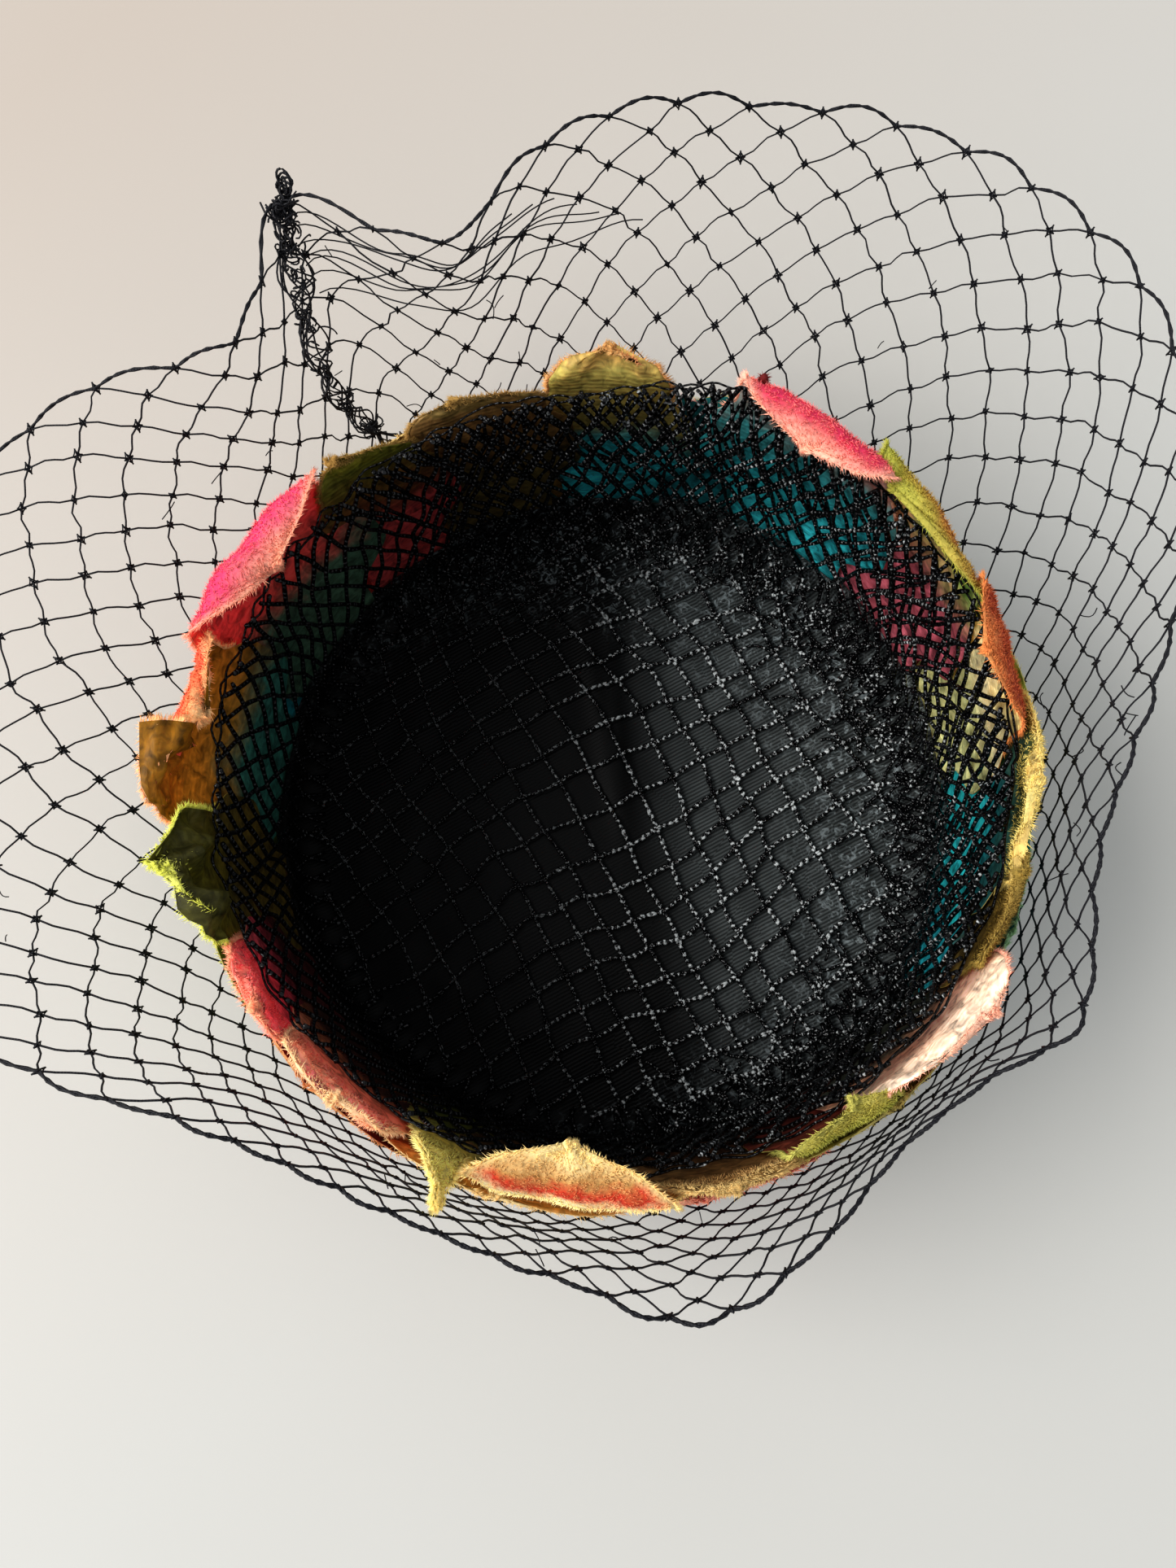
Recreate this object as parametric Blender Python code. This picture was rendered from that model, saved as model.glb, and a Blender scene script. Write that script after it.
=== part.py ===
"""Petal pillbox hat with a flared net veil, lying on its crown with the head opening up.

The frame is in metres with +Z up. The origin is the middle of the crown's flat
face, which rests on the floor, and the hat's axis is the Z axis. Azimuths are in
degrees, counter-clockwise from +X. Every size below is in millimetres and is
turned into metres by MM where a mesh is made.
"""

from math import cos, pi, radians, sin, sqrt

import bmesh
import bpy

MM = 0.001

# Driving sizes
GAP = 0.3               # clearance between two pieces that touch on the real hat
CROWN_FLAT_R = 75.0     # flat part of the crown that the hat rests on
CROWN_CLOTH = 1.5       # crown cloth with its stiff backing
CROWN_OUTER_R = 83.8
CROWN_TURN_UP = 20.0    # height of the crown's turned-up wall
CROWN_EDGE_Z = 9.0      # where the rounded crown edge becomes the wall
NET_OUTER_R = 82.0      # net lining, inside the crown and the petals
NET_CORD = 1.0          # thickness of the lining's doubled threads
LINING_LOW_Z = 12.0     # lowest knots of the lining's wall
LINING_HEM_Z = 8.3      # hem below them, where the lining turns in
LINING_HEM_IN = 0.6     # how far the hem lies inside the wall
LINING_TURN_R = 75.5    # where it meets the crown
LINING_FLANGE_R = 66.0  # how far it is drawn in over the crown
RIM_Z = 70.0            # rim of the net lining above the floor
PETAL_WALL = 1.0        # velvet with its backing
VEIL_WALL = 1.0
VEIL_CORD = 2.6         # width of a strand of the veil's coarse net
LINING_CORD = 2.4       # width of a strand of the lining's coarse net

# Counts
CROWN_SIDES = 64
CROWN_EDGE_STEPS = 4
LINING_COLUMNS = 24
LINING_ROWS = 3
VEIL_COLUMNS = 30
VEIL_ROWS = 4
PETAL_SPANS = 5         # facets across a petal
LEAN_STEPS = 4          # facets along a tip that leans
ROLL_STEPS = 5          # facets along a tip that rolls in
ROLLED_FROM = 60.0      # degrees of bend that count as a roll

# Rim row of petals: each stands on the lining and passes the rim
RIM_BASE_Z = 22.0
RIM_BASE_R = NET_OUTER_R + GAP
RIM_SLOPE = 0.09        # millimetres that a petal rises over its neighbour per degree
RIM_SPREAD = 5.0        # degrees that a petal widens on each side below the rim
RIM_FOOT_SHARE = 0.62   # width of a petal's foot as a share of its widest part
RIM_WALL = (
    # height  spread: share of RIM_SPREAD added on each side
    (38.0,    1.0),
    (54.0,    0.8),
)
RIM_NECK = 2.0          # a petal has its tip's width this far below the bend
ROLL_START_Z = 71.0     # rolled tips bend from here, above the lining
LEAN_START_Z = 66.0     # tips that lean out bend from here

# Forms of a tip: an ellipse with a blunt end, or a leaf's point
ROUND_END = 0.28
POINT_END = 0.12
POINT_POWER = 1.3

# from and to: azimuths of the tip's two sides at the rim;  reach: length past the rim
# bend and bend to: degrees at the two sides, plus rolls in and minus leans out
# taper: the form of the tip;  skew: -1 to 1, where in its span the tip ends
RIM_PETALS = (
    # name                 from   to  reach  bend  bend to  taper    skew  colour
    ("petal_olive_back",     81,  99,   14,   -20,    -38, "round",  0.0, "7d7a2c"),
    ("petal_brown_back",    100, 121,    8,   -10,     -4, "round",  0.3, "8c5a33"),
    ("leaf_olive_left",     122, 136,   10,   -16,    -10, "point",  0.5, "6d7030"),
    ("petal_pink_left",     137, 163,   17,   110,    125, "round",  0.0, "e8446c"),
    ("petal_ochre_left",    164, 187,   17,    95,    -50, "round",  0.4, "b08a2c"),
    ("leaf_crinkled",       188, 206,   21,   -48,    -38, "round",  0.0, "8f9a3c"),
    ("petal_coral_left",    207, 221,   10,   -22,    -16, "round",  0.3, "e4606c"),
    ("petal_peach_left",    222, 236,   10,   -18,    -14, "round",  0.5, "e8935c"),
    ("leaf_yellow_front",   237, 251,   12,   -16,    -28, "point",  0.9, "b7b44a"),
    ("petal_gold_front",    253, 276,   17,   110,    120, "round",  0.0, "d9a25a"),
    ("petal_tan_front",     277, 294,    7,    -6,     -8, "round",  0.0, "b07a48"),
    ("petal_green_front",   295, 309,    9,    70,     85, "round",  0.3, "a8b04c"),
    ("petal_cream_right",   310, 327,   13,   -18,    -28, "round",  0.4, "f0c8a4"),
    ("leaf_olive_right",    328, 342,    9,    35,     20, "point",  0.6, "7c7c34"),
    ("petal_yellow_right",  343, 368,   10,   -12,     -8, "round",  0.0, "d8b858"),
    ("petal_rust_right",    369, 386,   11,    40,     70, "round",  0.0, "a84c30"),
    ("leaf_green_right",    387, 404,   12,   -10,    -20, "point",  0.8, "9ea83c"),
    ("petal_pink_right",    405, 432,   17,   110,    120, "round",  0.0, "e85470"),
)

# Outer row of petals: sewn at the crown edge, outside the rim row
OUTER_COUNT = 13
OUTER_FIRST = 12.0      # azimuth of the first petal's tucked edge
OUTER_SPAN = 42.0       # degrees across a petal where it is widest
OUTER_SLOPE = 0.055
OUTER_PROFILE = (
    # height  radius  width as a share of OUTER_SPAN
    (14.0,     84.4,  0.70),
    (22.0,     87.2,  0.94),
    (34.0,     87.9,  1.00),
    (46.0,     88.0,  0.90),
    (54.0,     87.8,  0.68),
    (60.0,     87.4,  0.28),
)
# millimetres that each petal's tip lies above or below the profile's last row
OUTER_TIP_RISE = (0.0, 2.5, -2.0, 1.0, 3.0, -1.5, 2.0, 0.0, 3.0, -2.5, 1.5, -1.0, 2.0)
OUTER_COLOURS = ("2c8c94", "6f7a34", "c8485c", "b08a2c", "d87058", "4a8a86", "8f9a3c",
                 "a84c30", "d9a25a", "c8485c", "7d7a2c", "2c8c94", "9ea83c")

# Veil: its foot is sewn round the crown edge, and each section is a cubic curve
# from the foot to the scalloped edge, drawn towards a low and a high point
VEIL_FOOT_R = 84.55
VEIL_FOOT_Z = 6.0
SEAM_AZIMUTH = 120.0
VEIL_SECTIONS = (
    # azimuth  low_r  low_z  high_r  high_z  edge_r  edge_z
    (0,          103,    20,     92,     62,     98,     88),
    (12,         104,    18,    100,     58,    110,     86),
    (25,         106,    16,    118,     46,    128,     82),
    (40,         106,    16,    132,     38,    150,     76),
    (52,         106,    16,    136,     38,    157,     73),
    (65,         106,    16,    138,     40,    157,     73),
    (77,         108,    18,    138,     46,    148,     78),
    (87,         110,    20,    138,     56,    138,     86),
    (98,         110,    20,    128,     58,    127,     86),
    (106,        108,    20,    118,     56,    117,     84),
    (113,        107,    19,    117,     50,    122,     81),
    (120,        107,    18,    124,     44,    140,     80),
    (127,        107,    18,    117,     46,    124,     80),
    (134,        106,    22,    110,     50,    118,     80),
    (146,        103,    24,    112,     58,    139,     75),
    (158,        102,    26,    114,     62,    152,     68),
    (175,        102,    28,    114,     66,    162,     62),
    (190,        102,    28,    112,     66,    160,     63),
    (203,        102,    26,    108,     60,    137,     70),
    (212,        102,    24,    104,     58,    121,     80),
    (222,        102,    20,     96,     60,    104,     88),
    (235,        103,    20,     91,     62,     95,     90),
    (250,        103,    20,     90,     62,     93,     90),
    (266,        103,    20,     91,     62,     96,     90),
    (279,        103,    20,     94,     62,    103,     90),
    (292,        103,    20,     92,     62,     97,     89),
    (305,        103,    20,     92,     60,     91,     84),
    (318,        103,    20,     92,     60,     92,     87),
    (328,        103,    20,     92,     62,     98,     89),
    (345,        103,    20,     91,     62,     92,     88),
)

# Gathered seam that closes the veil
SEAM_LOW = 0.32         # share of the veil's section where the seam starts
SEAM_R = 2.4
SEAM_SIDES = 8
SEAM_RINGS = 14
SEAM_LUMPS = 4.0        # bunches of thread along the seam
SEAM_BUNCH = 0.22       # how much a bunch swells the seam
SEAM_END_R = 0.45       # share of the radius that is left at the ends
SEAM_GAP = 0.4          # clearance to the veil's knots
SEAM_STEP = 0.01        # share of the section over which its slope is taken

# Stub of a petal's stalk that shows past the rim
STALK_AZIMUTH = 68.0
STALK_R = 1.0
STALK_AXIS_R = 87.4
STALK_LOW = 63.5
STALK_HIGH = 76.0
STALK_SIDES = 8

BLACK_CLOTH = "17171a"
BLACK_THREAD = "0c0c0d"
DARK_RED = "5a1a1a"


def srgb_to_linear(hex_colour):
    """Linear RGBA of an sRGB hex colour."""
    channels = [int(hex_colour[i:i + 2], 16) / 255 for i in (0, 2, 4)]
    linear = [c / 12.92 if c <= 0.04045 else ((c + 0.055) / 1.055) ** 2.4 for c in channels]
    return (*linear, 1.0)


def make_material(name, hex_colour, roughness):
    """Principled material of one sub-part."""
    material = bpy.data.materials.new(name)
    material.use_nodes = True
    shader = material.node_tree.nodes["Principled BSDF"]
    shader.inputs["Base Color"].default_value = srgb_to_linear(hex_colour)
    shader.inputs["Roughness"].default_value = roughness
    shader.inputs["Metallic"].default_value = 0.0
    material.diffuse_color = srgb_to_linear(hex_colour)
    return material


def polar(radius, azimuth, height):
    """Point in metres from a radius, an azimuth in degrees and a height."""
    turn = radians(azimuth)
    return (radius * cos(turn) * MM, radius * sin(turn) * MM, height * MM)


def add_object(name, mesh, hex_colour, roughness):
    """Link a mesh as a named object with its own material, shaded smooth with sharp creases."""
    obj = bpy.data.objects.new(name, mesh)
    bpy.context.scene.collection.objects.link(obj)
    mesh.materials.append(make_material(name, hex_colour, roughness))
    mesh.shade_smooth()
    mesh.set_sharp_from_angle(angle=radians(40))
    return obj


def add_wall(obj, thickness, offset):
    """Give a surface its thickness: offset 1 grows outward, 0 both ways."""
    wall = obj.modifiers.new("wall", 'SOLIDIFY')
    wall.thickness = thickness * MM
    wall.offset = offset
    return wall


def grid_mesh(name, rows):
    """Mesh of quads over rows of points, each row running along +azimuth and rows going up."""
    count = len(rows[0])
    points = [point for row in rows for point in row]
    faces = []
    for j in range(len(rows) - 1):
        for i in range(count - 1):
            low = j * count + i
            high = low + count
            faces.append((low, low + 1, high + 1, high))
    mesh = bpy.data.meshes.new(name)
    mesh.from_pydata(points, [], faces)
    return mesh


def spin_profile(name, profile, sides):
    """Closed body turned from a profile of (radius, height), its ends on the axis."""
    bm = bmesh.new()
    verts = [bm.verts.new((r * MM, 0.0, z * MM)) for r, z in profile]
    edges = [bm.edges.new(pair) for pair in zip(verts, verts[1:])]
    bmesh.ops.spin(bm, geom=verts + edges, cent=(0, 0, 0), axis=(0, 0, 1),
                   angle=2 * pi, steps=sides, use_merge=True)
    bmesh.ops.remove_doubles(bm, verts=bm.verts, dist=1e-6)
    bmesh.ops.recalc_face_normals(bm, faces=bm.faces)
    mesh = bpy.data.meshes.new(name)
    bm.to_mesh(mesh)
    bm.free()
    return mesh


def crown_profile():
    """Section of the crown dish: flat face, rounded edge, turned-up wall, and back inside."""
    steps = CROWN_EDGE_STEPS
    edge_w = CROWN_OUTER_R - CROWN_FLAT_R
    outer = [(0.0, 0.0), (CROWN_FLAT_R, 0.0)]
    for k in range(1, steps + 1):
        turn = pi / 2 * k / steps
        outer.append((CROWN_FLAT_R + edge_w * sin(turn), CROWN_EDGE_Z * (1 - cos(turn))))
    outer.append((CROWN_OUTER_R, CROWN_TURN_UP))
    inner_w = edge_w - CROWN_CLOTH
    inner_h = CROWN_EDGE_Z - CROWN_CLOTH
    inner = [(CROWN_OUTER_R - CROWN_CLOTH, CROWN_TURN_UP)]
    for k in range(steps, 0, -1):
        turn = pi / 2 * k / steps
        inner.append((CROWN_FLAT_R + inner_w * sin(turn), CROWN_CLOTH + inner_h * (1 - cos(turn))))
    inner += [(CROWN_FLAT_R, CROWN_CLOTH), (0.0, CROWN_CLOTH)]
    return outer + inner


def build_crown():
    """Black cloth crown, the face that the hat lies on."""
    mesh = spin_profile("crown", crown_profile(), CROWN_SIDES)
    return add_object("crown", mesh, BLACK_CLOTH, 0.7)


def net_mesh(name, columns, rows, place, cord, open_edge, foot_rows):
    """Diamond net over a closed band.

    Knots stand on rows + 1 levels, every other level shifted by half a column, and
    place maps (share round, share up) to a point. Each diamond between four knots
    is inset by half a cord and cut through, and with open_edge so are the half
    diamonds along the top. foot_rows are closed bands of points below the net.
    """
    bm = bmesh.new()
    levels = []
    for j in range(rows + 1):
        shift = 0.5 * (j % 2)
        levels.append([bm.verts.new(place((i + shift) / columns, j / rows)) for i in range(columns)])
    diamonds = []
    for j in range(1, rows):
        for i in range(columns):
            after = (i + 1) % columns
            middle = after if j % 2 else i
            diamonds.append(bm.faces.new((levels[j - 1][middle], levels[j][after],
                                          levels[j + 1][middle], levels[j][i])))
    top = levels[rows]
    edge_halves = []
    for i in range(columns):
        after = (i + 1) % columns
        bm.faces.new((levels[0][i], levels[0][after], levels[1][i]))
        peak = levels[rows - 1][after if rows % 2 else i]
        edge_halves.append(bm.faces.new((peak, top[after], top[i])))
    ring = levels[0]
    for foot in foot_rows:
        lower = [bm.verts.new(point) for point in foot]
        for i in range(columns):
            after = (i + 1) % columns
            bm.faces.new((lower[i], lower[after], ring[after], ring[i]))
        ring = lower
    holes = diamonds + (edge_halves if open_edge else [])
    bm.normal_update()
    bmesh.ops.inset_individual(bm, faces=holes, thickness=cord / 2 * MM, use_even_offset=True)
    bmesh.ops.delete(bm, geom=holes, context='FACES_ONLY')
    mesh = bpy.data.meshes.new(name)
    bm.to_mesh(mesh)
    bm.free()
    return mesh


def build_lining():
    """Net lining: a pierced wall inside the petals, drawn in over the crown at its foot."""
    radius = NET_OUTER_R - NET_CORD / 2
    floor_z = CROWN_CLOTH + GAP + NET_CORD / 2

    def place(around, up):
        return polar(radius, 360 * around, LINING_LOW_Z + (RIM_Z - LINING_LOW_Z) * up)

    foot_section = ((radius - LINING_HEM_IN, LINING_HEM_Z), (LINING_TURN_R, floor_z),
                    (LINING_FLANGE_R, floor_z))
    foot = [[polar(ring_r, 360 * i / LINING_COLUMNS, ring_z) for i in range(LINING_COLUMNS)]
            for ring_r, ring_z in foot_section]
    mesh = net_mesh("net_lining", LINING_COLUMNS, LINING_ROWS, place, LINING_CORD, False, foot)
    obj = add_object("net_lining", mesh, BLACK_THREAD, 0.5)
    add_wall(obj, NET_CORD, 0.0)
    return obj


def tip_width(taper, along):
    """Share of the span that a tip keeps, from 1 at the rim to a blunt end."""
    if taper == "round":
        return max(sqrt(1 - along * along), ROUND_END)
    return max(1 - along ** POINT_POWER, POINT_END)


def bent_tip(bend, reach, along):
    """Height and outward shift of a tip of this bend in degrees, along from 0 to 1."""
    start = ROLL_START_Z if bend > 0 else LEAN_START_Z
    length = ROLL_START_Z + reach - start
    radius = length / radians(bend)
    turn = along * radians(bend)
    return start + radius * sin(turn), -radius * (1 - cos(turn))


def rim_petal_rows(start, end, reach, bend, bend_to, taper, skew):
    """Rows of points over the inner face of one petal of the rim row."""
    middle = (start + end) / 2
    half = (end - start) / 2
    tucked = start - RIM_SPREAD
    wall = [(RIM_BASE_Z, RIM_FOOT_SHARE * (half + RIM_SPREAD))]
    wall += [(height, half + share * RIM_SPREAD) for height, share in RIM_WALL]
    wall.append((LEAN_START_Z - RIM_NECK, half))
    rows = []
    for height, width in wall:
        row = []
        for i in range(PETAL_SPANS + 1):
            azimuth = middle + width * (2 * i / PETAL_SPANS - 1)
            row.append(polar(RIM_BASE_R + RIM_SLOPE * (azimuth - tucked), azimuth, height))
        rows.append(row)
    steps = ROLL_STEPS if max(bend, bend_to) > ROLLED_FROM else LEAN_STEPS
    for k in range(1, steps + 1):
        along = k / steps
        width = half * tip_width(taper, along)
        row = []
        for i in range(PETAL_SPANS + 1):
            across = i / PETAL_SPANS
            azimuth = middle + skew * (half - width) + width * (2 * across - 1)
            height, shift = bent_tip(bend + (bend_to - bend) * across, reach, along)
            row.append(polar(RIM_BASE_R + RIM_SLOPE * (azimuth - tucked) + shift, azimuth, height))
        rows.append(row)
    return rows


def build_rim_petals():
    """Velvet petals and leaves of the rim row, each its own object."""
    for name, *form, colour in RIM_PETALS:
        rows = rim_petal_rows(*form)
        obj = add_object(name, grid_mesh(name, rows), colour, 0.85)
        add_wall(obj, PETAL_WALL, 1.0)


def outer_petal_rows(tucked, tip_rise):
    """Rows of points over the inner face of one petal of the outer row."""
    middle = tucked + OUTER_SPAN / 2
    last = len(OUTER_PROFILE) - 1
    rows = []
    for j, (height, radius, share) in enumerate(OUTER_PROFILE):
        lifted = height + tip_rise * (j / last) ** 2
        row = []
        for i in range(PETAL_SPANS + 1):
            azimuth = middle + share * OUTER_SPAN / 2 * (2 * i / PETAL_SPANS - 1)
            row.append(polar(radius + OUTER_SLOPE * (azimuth - tucked), azimuth, lifted))
        rows.append(row)
    return rows


def build_outer_petals():
    """Velvet petals of the outer row, shingled round the crown edge."""
    for k in range(OUTER_COUNT):
        name = f"outer_petal_{k + 1:02d}"
        rows = outer_petal_rows(OUTER_FIRST + 360 * k / OUTER_COUNT, OUTER_TIP_RISE[k])
        obj = add_object(name, grid_mesh(name, rows), OUTER_COLOURS[k], 0.85)
        add_wall(obj, PETAL_WALL, 1.0)


def veil_section(azimuth):
    """Sizes of the veil's section at an azimuth, by cubic pieces through the table's rows."""
    count = len(VEIL_SECTIONS)
    azimuth = azimuth % 360
    k = max(i for i in range(count) if VEIL_SECTIONS[i][0] <= azimuth)

    def row(i):
        turns, index = divmod(i, count)
        first, *rest = VEIL_SECTIONS[index]
        return (first + 360 * turns, *rest)

    before, low, high, after = (row(k + i) for i in (-1, 0, 1, 2))
    span = high[0] - low[0]
    t = (azimuth - low[0]) / span
    result = []
    for c in range(1, len(low)):
        slope_low = (high[c] - before[c]) / (high[0] - before[0]) * span
        slope_high = (after[c] - low[c]) / (after[0] - low[0]) * span
        rise = high[c] - low[c]
        result.append(low[c] + t * slope_low
                      + t * t * (3 * rise - 2 * slope_low - slope_high)
                      + t * t * t * (slope_low + slope_high - 2 * rise))
    return result


def veil_point(azimuth, up):
    """Radius and height on the veil, up from 0 at the foot to 1 at the edge."""
    low_r, low_z, high_r, high_z, edge_r, edge_z = veil_section(azimuth)
    down = 1 - up
    foot, low, high, edge = down ** 3, 3 * up * down ** 2, 3 * up ** 2 * down, up ** 3
    return (foot * VEIL_FOOT_R + low * low_r + high * high_r + edge * edge_r,
            foot * VEIL_FOOT_Z + low * low_z + high * high_z + edge * edge_z)


def build_veil():
    """Flared veil of coarse net, from the crown edge to the scalloped edge."""

    def place(around, up):
        radius, height = veil_point(360 * around, up)
        return polar(radius, 360 * around, height)

    mesh = net_mesh("veil", VEIL_COLUMNS, VEIL_ROWS, place, VEIL_CORD, True, [])
    obj = add_object("veil", mesh, BLACK_THREAD, 0.5)
    add_wall(obj, VEIL_WALL, 0.0)
    return obj


def seam_ring(share):
    """Ring of points round the seam, share from 0 at its foot to 1 at the veil's edge."""
    up = SEAM_LOW + (1 - SEAM_LOW) * share
    radius, height = veil_point(SEAM_AZIMUTH, up)
    low_r, low_z = veil_point(SEAM_AZIMUTH, up - SEAM_STEP)
    length = sqrt((radius - low_r) ** 2 + (height - low_z) ** 2)
    out_r, out_z = (height - low_z) / length, (low_r - radius) / length
    swell = 1 + SEAM_BUNCH * sin(2 * pi * SEAM_LUMPS * share)
    girth = SEAM_R * swell * (SEAM_END_R + (1 - SEAM_END_R) * sin(pi * share))
    lift = VEIL_WALL / 2 + SEAM_GAP + girth
    across = radians(SEAM_AZIMUTH + 90)
    ring = []
    for i in range(SEAM_SIDES):
        turn = 2 * pi * i / SEAM_SIDES
        away = lift + girth * cos(turn)
        side = girth * sin(turn) * MM
        x, y, z = polar(radius + out_r * away, SEAM_AZIMUTH, height + out_z * away)
        ring.append((x + side * cos(across), y + side * sin(across), z))
    return ring


def build_veil_seam():
    """Bunched seam that closes the veil, lying on the veil's outer side."""
    bm = bmesh.new()
    loops = [[bm.verts.new(point) for point in seam_ring(j / SEAM_RINGS)]
             for j in range(SEAM_RINGS + 1)]
    for low, high in zip(loops, loops[1:]):
        for i in range(SEAM_SIDES):
            after = (i + 1) % SEAM_SIDES
            bm.faces.new((low[i], low[after], high[after], high[i]))
    bm.faces.new(loops[0])
    bm.faces.new(loops[-1])
    bmesh.ops.recalc_face_normals(bm, faces=bm.faces)
    mesh = bpy.data.meshes.new("veil_seam")
    bm.to_mesh(mesh)
    bm.free()
    return add_object("veil_seam", mesh, BLACK_THREAD, 0.5)


def build_stalk():
    """Short stub of a petal's stalk behind the rolled pink petal."""
    length = STALK_HIGH - STALK_LOW
    profile = [(0.0, 0.0), (STALK_R, 0.0), (STALK_R, length), (0.0, length)]
    mesh = spin_profile("stalk_stub", profile, STALK_SIDES)
    obj = add_object("stalk_stub", mesh, DARK_RED, 0.8)
    obj.location = polar(STALK_AXIS_R, STALK_AZIMUTH, STALK_LOW)
    return obj


def main():
    for obj in list(bpy.data.objects):
        bpy.data.objects.remove(obj, do_unlink=True)
    build_crown()
    build_lining()
    build_rim_petals()
    build_outer_petals()
    build_veil()
    build_veil_seam()
    build_stalk()


main()
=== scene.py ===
"""Looks of the petal pillbox hat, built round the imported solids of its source.

The hat lies on its crown with the head opening up. Lengths in the tables and in the
shape functions are millimetres, azimuths are degrees counter-clockwise from +X, and
every mesh is turned into metres where it is made.
"""

import bpy
import numpy as np
from mathutils import Matrix, Vector


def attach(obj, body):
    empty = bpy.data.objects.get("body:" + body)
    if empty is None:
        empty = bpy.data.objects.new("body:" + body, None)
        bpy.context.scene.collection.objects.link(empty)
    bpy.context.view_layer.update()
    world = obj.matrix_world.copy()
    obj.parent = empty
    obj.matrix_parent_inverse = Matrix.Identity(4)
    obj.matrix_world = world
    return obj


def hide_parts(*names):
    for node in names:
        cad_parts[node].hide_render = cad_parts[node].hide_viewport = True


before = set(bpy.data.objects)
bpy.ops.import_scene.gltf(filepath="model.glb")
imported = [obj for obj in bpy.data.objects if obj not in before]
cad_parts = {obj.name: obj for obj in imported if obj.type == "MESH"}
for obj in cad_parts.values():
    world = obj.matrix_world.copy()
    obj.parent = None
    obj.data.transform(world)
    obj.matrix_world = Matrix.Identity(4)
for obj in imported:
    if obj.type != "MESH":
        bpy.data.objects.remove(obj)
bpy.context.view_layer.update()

bl_info = {
    "name": "Petal Pillbox Hat",
    "version": (1, 0, 0),
    "blender": (4, 5, 0),
    "location": "3D View > Sidebar > Hat",
    "description": "Dresses a petal pillbox hat with velvet, net and taffeta",
    "category": "Add Mesh",
}

MM = 0.001
BODY = "root"

# Sizes repeated from the hat's source
CROWN_FLAT_R = 75.0
CROWN_CLOTH = 1.5
CROWN_OUTER_R = 83.8
CROWN_EDGE_Z = 9.0
NET_OUTER_R = 82.0
GAP = 0.3
RIM_Z = 70.0
RIM_BASE_Z = 22.0
RIM_BASE_R = NET_OUTER_R + GAP
RIM_SLOPE = 0.09
RIM_SPREAD = 5.0
ROLL_START_Z = 71.0
LEAN_START_Z = 66.0
OUTER_COUNT = 13
OUTER_FIRST = 12.0
OUTER_SPAN = 42.0
OUTER_SLOPE = 0.055
OUTER_TIP_RISE = (0.0, 2.5, -2.0, 1.0, 3.0, -1.5, 2.0, 0.0, 3.0, -2.5, 1.5, -1.0, 2.0)
VEIL_FOOT_R = 84.55
VEIL_FOOT_Z = 6.0
SEAM_AZIMUTH = 120.0
STALK_AZIMUTH = 68.0
STALK_AXIS_R = 87.4
STALK_LOW = 63.5
STALK_HIGH = 76.0

# Sizes of the looks alone. The crown cloth ends lower than in the source, in a flange on
# which the petals' feet stand, so the feet reach lower too.
CROWN_CLOTH_TOP = 10.6
PETAL_FOOT_Z = 10.9
VEIL_MESH = 9.5         # side of a mesh of the veil, 3/8 inch
SPILL_R = 5.0           # how far the lining's top spills out at the back right
SPILL_Z = 1.2           # and how far it rises there

RIM_WIDTHS = (
    # height  share of the half span  degrees added to the half span first
    (22.0,    0.62,                   5.0),
    (38.0,    1.00,                   5.0),
    (54.0,    1.00,                   4.0),
    (64.0,    1.00,                   0.0),
)
OUTER_RADII = (
    # height  radius
    (11.2,    84.4),
    (22.0,    87.2),
    (34.0,    87.9),
    (46.0,    88.0),
    (54.0,    87.8),
    (60.0,    87.4),
)
OUTER_WIDTHS = (
    # height  width as a share of OUTER_SPAN, up to where the round tip begins
    (11.2,    0.84),
    (22.0,    0.94),
    (34.0,    1.00),
)

# Sections of the veil: the radius and height of a Bezier curve's two inner points and of
# its end. They are the source's, apart from the row at 106, where the edge is drawn in a
# little beside the seam.
VEIL_SECTIONS = (
    # azimuth  low_r  low_z  high_r  high_z  edge_r  edge_z
    (0,          103,    20,     92,     62,     98,     88),
    (12,         104,    18,    100,     58,    110,     86),
    (25,         106,    16,    118,     46,    128,     82),
    (40,         106,    16,    132,     38,    150,     76),
    (52,         106,    16,    136,     38,    157,     73),
    (65,         106,    16,    138,     40,    157,     73),
    (77,         108,    18,    138,     46,    148,     78),
    (87,         110,    20,    138,     56,    138,     86),
    (98,         110,    20,    128,     58,    127,     86),
    (106,        108,    20,    117,     55,    114,     83),
    (113,        107,    19,    117,     50,    122,     81),
    (120,        107,    18,    124,     44,    140,     80),
    (127,        107,    18,    117,     46,    124,     80),
    (134,        106,    22,    110,     50,    118,     80),
    (146,        103,    24,    112,     58,    139,     75),
    (158,        102,    26,    114,     62,    152,     68),
    (175,        102,    28,    114,     66,    162,     62),
    (190,        102,    28,    112,     66,    160,     63),
    (203,        102,    26,    108,     60,    137,     70),
    (212,        102,    24,    104,     58,    121,     80),
    (222,        102,    20,     96,     60,    104,     88),
    (235,        103,    20,     91,     62,     95,     90),
    (250,        103,    20,     90,     62,     93,     90),
    (266,        103,    20,     91,     62,     96,     90),
    (279,        103,    20,     94,     62,    103,     90),
    (292,        103,    20,     92,     62,     97,     89),
    (305,        103,    20,     92,     60,     91,     84),
    (318,        103,    20,     92,     60,     92,     87),
    (328,        103,    20,     92,     62,     98,     89),
    (345,        103,    20,     91,     62,     92,     88),
)

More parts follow.
